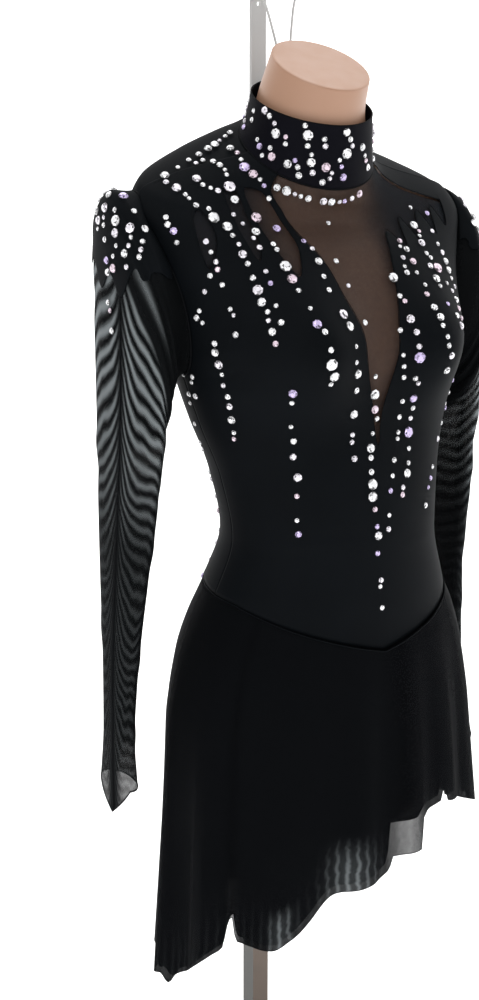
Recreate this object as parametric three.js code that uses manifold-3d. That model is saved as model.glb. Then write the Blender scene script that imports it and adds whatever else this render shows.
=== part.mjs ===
// A long-sleeved figure skating dress on a limbless dress form, hung on its stand.
// Millimetres, +Z up. The front of the dress faces -Y and the wearer's right is -X.
// Angles run anticlockwise seen from above: 0 left side, 90 back, 180 right side, 270 front.
// A level is the height above the waist of the section that a point belongs to.

import * as THREE from 'three';
import { mergeVertices } from 'three/addons/utils/BufferGeometryUtils.js';
import Module from 'manifold-3d';

// Driving sizes

const WAIST_HEIGHT = 694;
const CLOTH = 1.0;
const COLLAR_CLOTH = 1.5;
const GAP = 0.3;
const FORM_INSET = 4.7;
const NECK_INSET = 0.8;
const MESH_LAYER = 0.5;
const OPAQUE_LAYER = 2.4;
const NECK_LEVEL = 364;
const ARMHOLE_MIDDLE = 240;
const ARMHOLE_HALF_HEIGHT = 82;
const ARMHOLE_FRONT_ANGLE = 16;
const ARMHOLE_BACK_ANGLE = 33;
const SLEEVE_COLUMNS = 16;

// Sections of the torso, from the hips up to the top of the neck.
// tilt is how much higher the back of a section is than its middle, and lean how much
// higher its right side is, because the form hangs a little askew.
const TORSO = [
  { level: -293, tilt: 10, lean: 0, half: 146, front: 92, back: 92, middle: 12 },
  { level: -250, tilt: 9, lean: 0, half: 155, front: 102, back: 99, middle: 14 },
  { level: -195, tilt: 8, lean: 0, half: 157, front: 110, back: 102, middle: 14 },
  { level: -130, tilt: 7, lean: 0, half: 150, front: 108, back: 101, middle: 11 },
  { level: -60, tilt: 5, lean: 2, half: 128, front: 99, back: 97, middle: 2 },
  { level: 0, tilt: 3, lean: 2, half: 111, front: 90, back: 89, middle: -5 },
  { level: 60, tilt: 3, lean: 2, half: 119, front: 93, back: 93, middle: 3 },
  { level: 110, tilt: 4, lean: 3, half: 135, front: 94, back: 99, middle: 14 },
  { level: 158, tilt: 5, lean: 4, half: 149, front: 99, back: 103, middle: 22 },
  { level: 200, tilt: 6, lean: 5, half: 159, front: 102, back: 100, middle: 28 },
  { level: 250, tilt: 9, lean: 6, half: 169, front: 94, back: 91, middle: 37 },
  { level: 288, tilt: 15, lean: 8, half: 181, front: 82, back: 80, middle: 44 },
  { level: 309, tilt: 22, lean: 9, half: 187, front: 71, back: 71, middle: 48 },
  { level: 326, tilt: 30, lean: 9, half: 177, front: 63, back: 66, middle: 50 },
  { level: 338, tilt: 36, lean: 9, half: 145, front: 58, back: 63, middle: 48 },
  { level: 347, tilt: 38, lean: 8, half: 110, front: 56, back: 62, middle: 45 },
  { level: 355, tilt: 37, lean: 5, half: 82, front: 57, back: 62, middle: 41 },
  { level: 366, tilt: 32, lean: 0, half: 65, front: 58, back: 60, middle: 37 },
  { level: 384, tilt: 24, lean: 0, half: 57, front: 56, back: 57, middle: 33 },
  { level: 409, tilt: 17.5, lean: 0, half: 52, front: 52, back: 53, middle: 29 },
  { level: 445, tilt: 21.8, lean: 0, half: 47.5, front: 47.5, back: 47.5, middle: 15 },
];
const BUST = { side: 79, level: 196, reach: 54, tall: 60, out: 42 };

// Sleeve sections from armhole (along 0) to cuff (along 1): the outermost and innermost
// points of the section, its middle in depth, its half depth, and how its back is raised.
const SLEEVE_RIGHT = [
  { along: 0.00, outX: 186, outZ: 328, inX: 150, inZ: 162, middle: 48, half: 50, raise: 0.30 },
  { along: 0.06, outX: 199, outZ: 330, inX: 158, inZ: 156, middle: 51, half: 58, raise: 0.40 },
  { along: 0.13, outX: 208, outZ: 311, inX: 163, inZ: 148, middle: 51, half: 62, raise: 0.36 },
  { along: 0.22, outX: 212, outZ: 268, inX: 168, inZ: 134, middle: 50, half: 62, raise: 0.26 },
  { along: 0.34, outX: 212, outZ: 198, inX: 173, inZ: 108, middle: 50, half: 59, raise: 0.14 },
  { along: 0.46, outX: 213, outZ: 120, inX: 178, inZ: 70, middle: 50, half: 54, raise: 0.06 },
  { along: 0.58, outX: 216, outZ: 40, inX: 183, inZ: 16, middle: 50, half: 47, raise: 0 },
  { along: 0.70, outX: 220, outZ: -40, inX: 190, inZ: -48, middle: 49, half: 37, raise: 0 },
  { along: 0.82, outX: 224, outZ: -120, inX: 198, inZ: -122, middle: 46, half: 27, raise: 0 },
  { along: 0.92, outX: 227, outZ: -190, inX: 205, inZ: -190, middle: 43, half: 24, raise: 0 },
  { along: 1.00, outX: 230, outZ: -246, inX: 208, inZ: -240, middle: 39, half: 31, raise: 0 },
];
const SLEEVE_LEFT = [
  { along: 0.00, outX: 186, outZ: 314, inX: 148, inZ: 154, middle: 48, half: 50, raise: 0.30 },
  { along: 0.06, outX: 200, outZ: 304, inX: 156, inZ: 147, middle: 49, half: 58, raise: 0.38 },
  { along: 0.13, outX: 210, outZ: 278, inX: 160, inZ: 138, middle: 50, half: 61, raise: 0.34 },
  { along: 0.22, outX: 214, outZ: 236, inX: 163, inZ: 124, middle: 50, half: 61, raise: 0.26 },
  { along: 0.34, outX: 212, outZ: 172, inX: 166, inZ: 98, middle: 50, half: 58, raise: 0.14 },
  { along: 0.46, outX: 208, outZ: 98, inX: 168, inZ: 58, middle: 51, half: 54, raise: 0.06 },
  { along: 0.58, outX: 206, outZ: 18, inX: 171, inZ: 2, middle: 52, half: 47, raise: 0 },
  { along: 0.70, outX: 208, outZ: -62, inX: 178, inZ: -64, middle: 53, half: 37, raise: 0 },
  { along: 0.82, outX: 213, outZ: -142, inX: 188, inZ: -140, middle: 54, half: 27, raise: 0 },
  { along: 0.92, outX: 221, outZ: -222, inX: 199, inZ: -218, middle: 55, half: 24, raise: 0 },
  { along: 1.00, outX: 230, outZ: -288, inX: 208, inZ: -280, middle: 55, half: 31, raise: 0 },
];

const CUFF_POINT = { angle: 98, reach: 26, spread: 60 };

// Lower edge of the opaque cap on the sleeve head, seen from the side
const CAP_EDGE = [
  { y: -40, z: 322 },
  { y: -12, z: 290 },
  { y: 2, z: 258 },
  { y: 14, z: 268 },
  { y: 32, z: 240 },
  { y: 50, z: 260 },
  { y: 68, z: 244 },
  { y: 86, z: 270 },
  { y: 104, z: 266 },
  { y: 140, z: 330 },
];

// Skirt: how far the hem hangs below the waist and how far it stands out, all round
const HEM = [
  { angle: 0, drop: 338, flare: 22, underlap: 8 },
  { angle: 30, drop: 362, flare: 22, underlap: 6 },
  { angle: 60, drop: 402, flare: 18, underlap: 6 },
  { angle: 78, drop: 423, flare: 4, underlap: 6 },
  { angle: 96, drop: 440, flare: 4, underlap: 6 },
  { angle: 116, drop: 458, flare: 16, underlap: 6 },
  { angle: 146, drop: 470, flare: 15, underlap: 6 },
  { angle: 172, drop: 460, flare: 14, underlap: 5 },
  { angle: 190, drop: 442, flare: 16, underlap: 4 },
  { angle: 206, drop: 406, flare: 18, underlap: 4 },
  { angle: 228, drop: 389, flare: 20, underlap: 4 },
  { angle: 240, drop: 361, flare: 22, underlap: 6 },
  { angle: 250, drop: 333, flare: 23, underlap: 10 },
  { angle: 264, drop: 328, flare: 24, underlap: 14 },
  { angle: 272, drop: 306, flare: 25, underlap: 26 },
  { angle: 283, drop: 303, flare: 26, underlap: 26 },
  { angle: 290, drop: 276, flare: 27, underlap: 5 },
  { angle: 302, drop: 280, flare: 27, underlap: 5 },
  { angle: 320, drop: 302, flare: 27, underlap: 14 },
  { angle: 340, drop: 322, flare: 24, underlap: 12 },
];
const FOLDS = [
  { angle: 8, width: 9, out: -7 },
  { angle: 26, width: 9, out: 8 },
  { angle: 44, width: 9, out: -7 },
  { angle: 62, width: 9, out: 9 },
  { angle: 87, width: 14, out: -5 },
  { angle: 108, width: 8, out: 8 },
  { angle: 122, width: 8, out: -7 },
  { angle: 138, width: 8, out: 9 },
  { angle: 155, width: 8, out: -8 },
  { angle: 172, width: 7, out: 10 },
  { angle: 188, width: 7, out: -8 },
  { angle: 202, width: 6, out: 8 },
  { angle: 214, width: 6, out: -9 },
  { angle: 228, width: 8, out: 6 },
  { angle: 246, width: 7, out: -8 },
  { angle: 258, width: 6, out: 7 },
  { angle: 268, width: 5, out: -8 },
  { angle: 279, width: 6, out: 8 },
  { angle: 289, width: 5, out: -7 },
  { angle: 299, width: 6, out: 8 },
  { angle: 309, width: 5, out: -7 },
  { angle: 320, width: 7, out: 8 },
  { angle: 335, width: 8, out: -7 },
  { angle: 351, width: 8, out: 7 },
];

// Mesh windows between the flame points of the front, as seen from the front on the
// wearer's right: x across from the centre line, z above the waist.
const KEYHOLE = [
  { x: -2, z: 98 },
  { x: -6, z: 130 },
  { x: -18, z: 176 },
  { x: -22, z: 206 },
  { x: -32, z: 238 },
  { x: -38, z: 266 },
  { x: -51, z: 292 },
  { x: -58, z: 312 },
  { x: -66, z: 332 },
  { x: -52, z: 352 },
];
const WINDOW_NEAR = [
  { x: -73, z: 258 },
  { x: -60, z: 278 },
  { x: -60, z: 296 },
  { x: -66, z: 314 },
  { x: -75, z: 331 },
  { x: -90, z: 334 },
  { x: -89, z: 312 },
  { x: -85, z: 286 },
];
const WINDOW_MIDDLE = [
  { x: -103, z: 272 },
  { x: -95, z: 292 },
  { x: -96, z: 314 },
  { x: -98, z: 333 },
  { x: -110, z: 335 },
  { x: -110, z: 316 },
  { x: -109, z: 292 },
];
const WINDOW_FAR = [
  { x: -145, z: 266 },
  { x: -135, z: 288 },
  { x: -134, z: 306 },
  { x: -140, z: 318 },
  { x: -149, z: 310 },
  { x: -150, z: 288 },
];

// The one wide window on the wearer's left, given as its mirror image on the right
const WINDOW_WIDE = [
  { x: -90, z: 256 },
  { x: -80, z: 276 },
  { x: -74, z: 300 },
  { x: -78, z: 322 },
  { x: -86, z: 335 },
  { x: -110, z: 336 },
  { x: -136, z: 326 },
  { x: -151, z: 310 },
  { x: -148, z: 284 },
  { x: -140, z: 276 },
  { x: -131, z: 298 },
  { x: -120, z: 265 },
  { x: -105, z: 292 },
];

// Lower edge of the mesh yoke behind the front, seen from the front
const YOKE_EDGE = [
  { x: 0, z: 84 },
  { x: 14, z: 110 },
  { x: 34, z: 196 },
  { x: 58, z: 244 },
  { x: 118, z: 252 },
  { x: 200, z: 250 },
];

const BRIEFS = { top: 6, legHigh: -212 };
const GUSSET_HALF = 30;

const POST = { x: 8, y: 134, size: 20, wall: 1, top: -120 };
const BAR = { width: 17.4, thick: 4, bottom: -230, top: 556, hole: 5, holeLevel: 500 };
const BASE = { width: 340, depth: 350, thick: 8, y: 18 };
const ARM = { radius: 4, level: 532, front: 96 };
const EYE = { level: 430, radius: 4.5, length: 7 };
const WIRE = { radius: 1.3, foot: 6.2, widest: 22 };
const BUTTON = { radius: 3.6, thick: 2.2, seat: 0.05, levels: [374, 388, 402] };

// Curves through the tables

function curveThrough(rows, place) {
  const names = Object.keys(rows[0]).filter((name) => name !== place);
  const last = rows.length - 1;
  const step = (i) => rows[i + 1][place] - rows[i][place];
  const slope = (i, name) => (rows[i + 1][name] - rows[i][name]) / step(i);
  const tangent = (i, name) => {
    if (i === 0) return slope(0, name);
    if (i === last) return slope(last - 1, name);
    const before = slope(i - 1, name);
    const after = slope(i, name);
    if (before * after <= 0) return 0;
    const weightBefore = 2 * step(i) + step(i - 1);
    const weightAfter = step(i) + 2 * step(i - 1);
    return (weightBefore + weightAfter) / (weightBefore / before + weightAfter / after);
  };
  return (value) => {
    const held = Math.min(Math.max(value, rows[0][place]), rows[last][place]);
    let i = 0;
    while (i < last - 1 && rows[i + 1][place] <= held) i += 1;
    const h = step(i);
    const t = (held - rows[i][place]) / h;
    const result = {};
    for (const name of names) {
      const a = rows[i][name];
      const b = rows[i + 1][name];
      const leaving = (t ** 3 - 2 * t ** 2 + t) * h * tangent(i, name);
      const arriving = (t ** 3 - t ** 2) * h * tangent(i + 1, name);
      result[name] = mix(a, b, 3 * t ** 2 - 2 * t ** 3) + leaving + arriving;
    }
    return result;
  };
}

function roundTheBody(rows) {
  const before = rows.slice(-2).map((row) => ({ ...row, angle: row.angle - 360 }));
  const after = rows.slice(0, 2).map((row) => ({ ...row, angle: row.angle + 360 }));
  const curve = curveThrough([...before, ...rows, ...after], 'angle');
  return (angle) => curve(((angle % 360) + 360) % 360);
}

const radians = THREE.MathUtils.degToRad;
const mix = THREE.MathUtils.lerp;
const torsoAt = curveThrough(TORSO, 'level');
const hemAt = roundTheBody(HEM);

// Surface of the torso

function torsoPoint(angle, level) {
  const section = torsoAt(level);
  const across = Math.cos(radians(angle));
  const back = Math.sin(radians(angle));
  const x = section.half * across;
  let y = section.middle + (back > 0 ? section.back : section.front) * back;
  if (back < 0) {
    for (const side of [-1, 1]) {
      const dx = (x - side * BUST.side) / BUST.reach;
      const dz = (level - BUST.level) / BUST.tall;
      y -= BUST.out * Math.sqrt(-back) * Math.exp(-dx * dx - dz * dz);
    }
  }
  return new THREE.Vector3(x, y, WAIST_HEIGHT + level + section.tilt * back - section.lean * across);
}

function normalOf(surface, u, v, du, dv) {
  const alongU = surface(u + du, v).sub(surface(u - du, v));
  const alongV = surface(u, v + dv).sub(surface(u, v - dv));
  return alongU.cross(alongV).normalize();
}

function skin(angle, level, out) {
  const normal = normalOf(torsoPoint, angle, level, 0.05, 0.5);
  return torsoPoint(angle, level).addScaledVector(normal, out);
}

// Closed solids from grids of points

function toGeometry(points, triangles) {
  let volume = 0;
  for (const [a, b, c] of triangles) {
    volume += points[a].dot(points[b].clone().cross(points[c]));
  }
  const facing = volume > 0 ? triangles : triangles.map(([a, b, c]) => [a, c, b]);
  const geometry = new THREE.BufferGeometry();
  const flat = points.flatMap((point) => [point.x, point.y, point.z]);
  geometry.setAttribute('position', new THREE.Float32BufferAttribute(flat, 3));
  geometry.setIndex(facing.flat());
  geometry.computeVertexNormals();
  return geometry;
}

// A wall of cloth between an outer and an inner grid of points. A round wall closes on
// itself across its columns, and any other has an edge on all four sides.
function clothWall(outer, inner, round = false) {
  const rows = outer.length;
  const columns = outer[0].length;
  const points = [...outer.flat(), ...inner.flat()];
  const front = (i, j) => i * columns + (j % columns);
  const behind = (i, j) => rows * columns + front(i, j);
  const triangles = [];
  const quad = (a, b, c, d) => triangles.push([a, b, c], [a, c, d]);
  const spans = round ? columns : columns - 1;
  for (let j = 0; j < spans; j += 1) {
    for (let i = 0; i < rows - 1; i += 1) {
      quad(front(i, j), front(i, j + 1), front(i + 1, j + 1), front(i + 1, j));
      quad(behind(i, j), behind(i + 1, j), behind(i + 1, j + 1), behind(i, j + 1));
    }
    quad(behind(0, j), behind(0, j + 1), front(0, j + 1), front(0, j));
    quad(front(rows - 1, j), front(rows - 1, j + 1), behind(rows - 1, j + 1), behind(rows - 1, j));
  }
  if (!round) {
    const end = columns - 1;
    for (let i = 0; i < rows - 1; i += 1) {
      quad(behind(i, 0), front(i, 0), front(i + 1, 0), behind(i + 1, 0));
      quad(front(i, end), behind(i, end), behind(i + 1, end), front(i + 1, end));
    }
  }
  return toGeometry(points, triangles);
}

function grid(rowValues, columnValues, pointAt) {
  return rowValues.map((row) => columnValues.map((column) => pointAt(row, column)));
}

function evenly(from, to, steps) {
  return Array.from({ length: steps + 1 }, (_, i) => mix(from, to, i / steps));
}

const ringAngles = (count) => evenly(0, 360, count).slice(0, count);

// Panels of the bodice

function seamLevel(angle) {
  const turn = ((angle % 360) + 360) % 360;
  const point = Math.max(0, 1 - Math.abs(turn - 270) / 75);
  return -57 + 8 * Math.sin(radians(angle)) - 36 * point ** 1.3;
}

function armholeSpread(level, halfAngle) {
  const height = (level - ARMHOLE_MIDDLE) / ARMHOLE_HALF_HEIGHT;
  return halfAngle * Math.sqrt(Math.max(0, 1 - height * height));
}

// The angle of a point across a panel, from -1 at its right-hand edge to 1 at the other
function acrossFront(u, level) {
  return 270 + u * (90 - armholeSpread(level, ARMHOLE_FRONT_ANGLE) - 0.15);
}

function acrossBack(u, level) {
  return 90 - u * (90 - armholeSpread(level, ARMHOLE_BACK_ANGLE) - 0.15);
}

const ringHeights = evenly(-90, 90, SLEEVE_COLUMNS / 2).map((turn) => Math.sin(radians(turn)));
const ARMHOLE_LEVELS = ringHeights.map((height) => ARMHOLE_MIDDLE + ARMHOLE_HALF_HEIGHT * height);
const SHOULDER_LEVELS = [331, 340, 349, 357, NECK_LEVEL];
const UNDERARM = ARMHOLE_LEVELS[0];

// Rows run from bottom(angle) to the underarm, then along the levels above it
function panelRows(below, above, bottomAt) {
  const lower = evenly(0, 1, below).slice(0, below);
  const rows = lower.map((share) => (angle) => mix(bottomAt(angle), UNDERARM, share));
  return [...rows, ...above.map((level) => () => level)];
}

function panel(rows, columns, acrossAt, layer, thick) {
  const place = (row, u, out) => {
    const rough = row(acrossAt(u, 0));
    const angle = acrossAt(u, rough);
    return skin(angle, row(angle), out);
  };
  const outer = grid(rows, columns, (row, u) => place(row, u, layer + thick / 2));
  const inner = grid(rows, columns, (row, u) => place(row, u, layer - thick / 2));
  return clothWall(outer, inner);
}

// Rows between two edge lines, shared out as the levels are at the panel's side
function rowsBetween(levels, bottomAt, topAt) {
  const low = levels[0];
  const high = levels[levels.length - 1];
  return levels.map((level) => (u) => mix(bottomAt(u), topAt(u), (level - low) / (high - low)));
}

function edgedPanel(rows, columns, acrossAt, layer, thick) {
  const place = (row, u, out) => {
    const level = row(u);
    return skin(acrossAt(u, level), level, out);
  };
  const outer = grid(rows, columns, (row, u) => place(row, u, layer + thick / 2));
  const inner = grid(rows, columns, (row, u) => place(row, u, layer - thick / 2));
  return clothWall(outer, inner);
}

function windowPrism(outline, side) {
  const shape = new THREE.Shape(outline.map(({ x, z }) => new THREE.Vector2(side * -x, z)));
  const depth = 260;
  const prism = new THREE.ExtrudeGeometry(shape, { depth, bevelEnabled: false, steps: 1 });
  prism.rotateX(Math.PI / 2);
  prism.translate(0, 20, WAIST_HEIGHT);
  return prism;
}

const wasm = await Module();
wasm.setup();

function toManifold(geometry) {
  const bare = geometry.clone();
  bare.deleteAttribute('normal');
  bare.deleteAttribute('uv');
  const merged = mergeVertices(bare, 1e-4);
  const vertProperties = new Float32Array(merged.attributes.position.array);
  const triVerts = new Uint32Array(merged.index.array);
  return new wasm.Manifold(new wasm.Mesh({ numProp: 3, vertProperties, triVerts }));
}

function fromManifold(solid) {
  const mesh = solid.getMesh();
  const geometry = new THREE.BufferGeometry();
  const positions = [];
  for (let i = 0; i < mesh.vertProperties.length; i += mesh.numProp) {
    positions.push(...mesh.vertProperties.slice(i, i + 3));
  }
  geometry.setAttribute('position', new THREE.Float32BufferAttribute(positions, 3));
  geometry.setIndex(Array.from(mesh.triVerts));
  geometry.computeVertexNormals();
  return geometry;
}

function wholeFront(layer) {
  const rows = panelRows(6, [...ARMHOLE_LEVELS, ...SHOULDER_LEVELS], seamLevel);
  return toManifold(panel(rows, evenly(-1, 1, 20), acrossFront, layer, CLOTH));
}

function frontBodice() {
  let solid = wholeFront(OPAQUE_LAYER);
  const keyholeLeft = KEYHOLE.map(({ x, z }) => ({ x: -x, z })).reverse();
  const keyhole = [...KEYHOLE.slice(1), ...keyholeLeft.slice(0, -1)];
  const prisms = [windowPrism([{ x: 0, z: 94 }, ...keyhole], 1)];
  for (const outline of [WINDOW_NEAR, WINDOW_MIDDLE, WINDOW_FAR]) {
    prisms.push(windowPrism(outline, 1));
  }
  prisms.push(windowPrism(WINDOW_WIDE, -1));
  for (const prism of prisms) {
    solid = solid.subtract(toManifold(prism));
  }
  return fromManifold(solid);
}

function frontYoke() {
  const left = YOKE_EDGE.slice(1).map(({ x, z }) => ({ x: -x, z })).reverse();
  const top = [{ x: 200, z: 460 }, { x: -200, z: 460 }];
  const kept = windowPrism([...left, ...YOKE_EDGE, ...top], 1);
  return fromManifold(wholeFront(MESH_LAYER).intersect(toManifold(kept)));
}

const backLine = (u) => mix(262, ARMHOLE_LEVELS[6], u * u);

function backBodice() {
  const levels = ARMHOLE_LEVELS.slice(0, 7);
  const place = (share, u, out) => {
    const rough = acrossBack(u, 0);
    const level = mix(seamLevel(rough), UNDERARM, share);
    return skin(acrossBack(u, level), level, out);
  };
  const upper = rowsBetween(levels, () => UNDERARM, backLine);
  const point = (row, u, out) => {
    if (typeof row === 'number') return place(row, u, out);
    return skin(acrossBack(u, row(u)), row(u), out);
  };
  const rows = [...evenly(0, 1, 5).slice(0, 5), ...upper];
  const columns = evenly(-1, 1, 16);
  const outer = grid(rows, columns, (row, u) => point(row, u, OPAQUE_LAYER + CLOTH / 2));
  const inner = grid(rows, columns, (row, u) => point(row, u, OPAQUE_LAYER - CLOTH / 2));
  return clothWall(outer, inner);
}

function backYoke(side) {
  const tuck = 5;
  const levels = [ARMHOLE_LEVELS[6] - tuck, 306, ...ARMHOLE_LEVELS.slice(7), ...SHOULDER_LEVELS];
  const rows = rowsBetween(levels, (u) => backLine(u) - tuck, () => NECK_LEVEL);
  const columns = evenly(side * 0.003, side, 8);
  return edgedPanel(rows, columns, acrossBack, MESH_LAYER, CLOTH);
}

const COLLAR = [
  { level: NECK_LEVEL + 0.8, out: 1.4 },
  { level: 374, out: 2.6 },
  { level: 390, out: 4.6 },
  { level: 409, out: 6.0 },
];
const collarAt = curveThrough(COLLAR, 'level');

// The middle of the collar's cloth, which stands up from the neck seam and leans out
function collarSurface(angle, level) {
  return skin(angle, level, collarAt(level).out);
}

function collar() {
  const levels = COLLAR.map((row) => row.level);
  const angles = evenly(90.3, 449.7, 28);
  const point = (level, angle, side) => skin(angle, level, collarAt(level).out + side * COLLAR_CLOTH / 2);
  const outer = grid(levels, angles, (level, angle) => point(level, angle, 1));
  const inner = grid(levels, angles, (level, angle) => point(level, angle, -1));
  return clothWall(outer, inner);
}

// Sleeves

function armholePoint(turn, side, layer = OPAQUE_LAYER) {
  const back = Math.cos(radians(turn));
  const spread = ((back > 0 ? ARMHOLE_BACK_ANGLE : ARMHOLE_FRONT_ANGLE) - 0.35) * back;
  const level = ARMHOLE_MIDDLE + (ARMHOLE_HALF_HEIGHT - 0.7) * Math.sin(radians(turn));
  return skin(side < 0 ? 180 - spread : spread, level, layer);
}

function sleeveSurface(table, side) {
  const sectionAt = curveThrough(table, 'along');
  return (turn, along) => {
    const up = Math.sin(radians(turn));
    const back = Math.cos(radians(turn));
    const section = sectionAt(along);
    const off = ((turn - CUFF_POINT.angle) % 360 + 540) % 360 - 180;
    const point = Math.max(0, 1 - Math.abs(off) / CUFF_POINT.spread);
    const dip = CUFF_POINT.reach * point * THREE.MathUtils.smoothstep(along, 0.86, 1);
    const x = mix(section.inX, section.outX, (1 + up) / 2);
    const z = mix(section.inZ, section.outZ, (1 + up) / 2) + section.raise * section.half * back - dip;
    const hung = new THREE.Vector3(side * x, section.middle + section.half * back, WAIST_HEIGHT + z);
    const leave = THREE.MathUtils.smoothstep(along, 0, 0.06);
    return armholePoint(turn, side).lerp(hung, leave);
  };
}

const SLEEVE_ROWS = [0, 0.04, 0.08, 0.14, 0.21, 0.3, 0.42, 0.56, 0.72, 0.88, 1];

// The wall stands along the torso's normal at the armhole and along the sleeve's own below
function sleeveWallPoint(surface, side, turn, along, out) {
  if (along === 0) return armholePoint(turn, side, OPAQUE_LAYER + out);
  const turnedOut = normalOf(surface, turn, Math.max(along, 0.01), 0.5, 0.005);
  turnedOut.multiplyScalar(side);
  return surface(turn, along).addScaledVector(turnedOut, out);
}

function sleeve(table, side) {
  const surface = sleeveSurface(table, side);
  const turns = ringAngles(SLEEVE_COLUMNS);
  const point = (along, turn, out) => sleeveWallPoint(surface, side, turn, along, out);
  const outer = grid(SLEEVE_ROWS, turns, (along, turn) => point(along, turn, CLOTH / 2));
  const inner = grid(SLEEVE_ROWS, turns, (along, turn) => point(along, turn, -CLOTH / 2));
  return clothWall(outer, inner, true);
}

function shoulderCap(table, side) {
  const surface = sleeveSurface(table, side);
  const turns = evenly(-22.5, 202.5, 10);
  const rows = [0.02, ...SLEEVE_ROWS.slice(1, 7)];
  const low = CLOTH / 2 + GAP + 0.5;
  const point = (along, turn, out) => sleeveWallPoint(surface, side, turn, along, out);
  const outer = grid(rows, turns, (along, turn) => point(along, turn, low + CLOTH));
  const inner = grid(rows, turns, (along, turn) => point(along, turn, low));
  const edge = CAP_EDGE.map(({ y, z }) => new THREE.Vector2(y, z));
  const kept = new THREE.Shape([...edge, new THREE.Vector2(140, 420), new THREE.Vector2(-40, 420)]);
  const prism = new THREE.ExtrudeGeometry(kept, { depth: 200, bevelEnabled: false, steps: 1 });
  prism.rotateX(Math.PI / 2);
  prism.rotateZ(Math.PI / 2);
  prism.translate(side > 0 ? 100 : -300, 0, WAIST_HEIGHT);
  return fromManifold(toManifold(clothWall(outer, inner)).intersect(toManifold(prism)));
}

// Skirt

function foldOut(angle) {
  let out = 0;
  for (const fold of FOLDS) {
    const off = ((angle - fold.angle) % 360 + 540) % 360 - 180;
    out += fold.out * Math.exp(-((off / fold.width) ** 2));
  }
  return out;
}

// The skirt lies on the hips down to the hang level, then falls and stands out in folds
const HANG_LEVEL = -190;

function skirtSurface(layer) {
  return (angle, share) => {
    const { drop, flare, underlap } = hemAt(angle);
    const hem = -drop + (layer === 'inner' ? underlap : 0);
    const level = mix(seamLevel(angle) - 1.2, hem, share);
    const fall = Math.max(0, (-60 - level) / 360);
    const held = Math.max(level, HANG_LEVEL);
    const lift = layer === 'inner' ? OPAQUE_LAYER : OPAQUE_LAYER + 1.8 + 3 * fall;
    const point = skin(angle, held, lift);
    const out = flare * fall ** 0.85 + foldOut(angle) * fall ** 1.3;
    point.x += out * Math.cos(radians(angle));
    point.y += out * Math.sin(radians(angle));
    point.z += level - held;
    return point;
  };
}

function skirt(layer) {
  const surface = skirtSurface(layer);
  const angles = ringAngles(60);
  const rows = [0, 0.09, 0.2, 0.33, 0.5, 0.74, 1];
  const point = (share, angle, out) => {
    const normal = normalOf(surface, angle, Math.min(Math.max(share, 0.01), 0.99), 0.5, 0.01);
    return surface(angle, share).addScaledVector(normal, -out);
  };
  const outer = grid(rows, angles, (share, angle) => point(share, angle, CLOTH / 2));
  const inner = grid(rows, angles, (share, angle) => point(share, angle, -CLOTH / 2));
  return clothWall(outer, inner, true);
}

// Briefs under the skirt, with high-cut legs, and the gusset that joins front to back
function legLevel(angle) {
  const fromSide = Math.abs(Math.cos(radians(angle)));
  const bottom = TORSO[0].level + 0.5;
  const share = THREE.MathUtils.smoothstep(fromSide, 0.22, 0.95);
  return mix(bottom, BRIEFS.legHigh, share);
}

function briefs() {
  const rows = evenly(0, 1, 5);
  const angles = ringAngles(36);
  const point = (share, angle, out) => {
    const level = mix(legLevel(angle), seamLevel(angle) + BRIEFS.top, share);
    return skin(angle, level, out);
  };
  const outer = grid(rows, angles, (share, angle) => point(share, angle, MESH_LAYER + CLOTH / 2));
  const inner = grid(rows, angles, (share, angle) => point(share, angle, MESH_LAYER - CLOTH / 2));
  return clothWall(outer, inner, true);
}

function gusset() {
  const foot = TORSO[0];
  const length = foot.front + foot.back - 3;
  const plate = new THREE.BoxGeometry(2 * GUSSET_HALF, length, CLOTH);
  plate.translate(0, 0, -CLOTH / 2 - 0.8);
  plate.rotateX(Math.atan2(foot.tilt, foot.front));
  plate.translate(0, foot.middle, WAIST_HEIGHT + foot.level);
  return plate;
}

// Dress form: one smooth limbless solid with a flat foot and a tilted neck cap
function dressForm() {
  const levels = [-293, -250, -195, -140, -90, -40, 10, 60, 110, 150, 190, 225, 260, 290, 310,
    324, 335, 344, 353, 366, 384, 409, 445];
  const angles = ringAngles(40);
  const inset = (level) => mix(FORM_INSET, NECK_INSET, THREE.MathUtils.smoothstep(level, 345, 384));
  const points = grid(levels, angles, (level, angle) => skin(angle, level, -inset(level))).flat();
  const count = angles.length;
  const index = (i, j) => i * count + (j % count);
  const triangles = [];
  for (let i = 0; i < levels.length - 1; i += 1) {
    for (let j = 0; j < count; j += 1) {
      triangles.push([index(i, j), index(i, j + 1), index(i + 1, j + 1)]);
      triangles.push([index(i, j), index(i + 1, j + 1), index(i + 1, j)]);
    }
  }
  const top = levels.length - 1;
  for (let j = 1; j < count - 1; j += 1) {
    triangles.push([index(0, 0), index(0, j + 1), index(0, j)]);
    triangles.push([index(top, 0), index(top, j), index(top, j + 1)]);
  }
  return toGeometry(points, triangles);
}

// Fastening at the centre back of the collar

function button(level) {
  const normal = normalOf(collarSurface, 90, level, 0.05, 0.5);
  const reach = COLLAR_CLOTH / 2 + GAP + BUTTON.seat + BUTTON.thick / 2;
  const centre = collarSurface(90, level).addScaledVector(normal, reach);
  const disc = new THREE.CylinderGeometry(BUTTON.radius, BUTTON.radius * 0.8, BUTTON.thick, 14);
  const turn = new THREE.Quaternion().setFromUnitVectors(new THREE.Vector3(0, 1, 0), normal);
  disc.applyQuaternion(turn);
  disc.translate(centre.x, centre.y, centre.z);
  return disc;
}

// Stand

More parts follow.
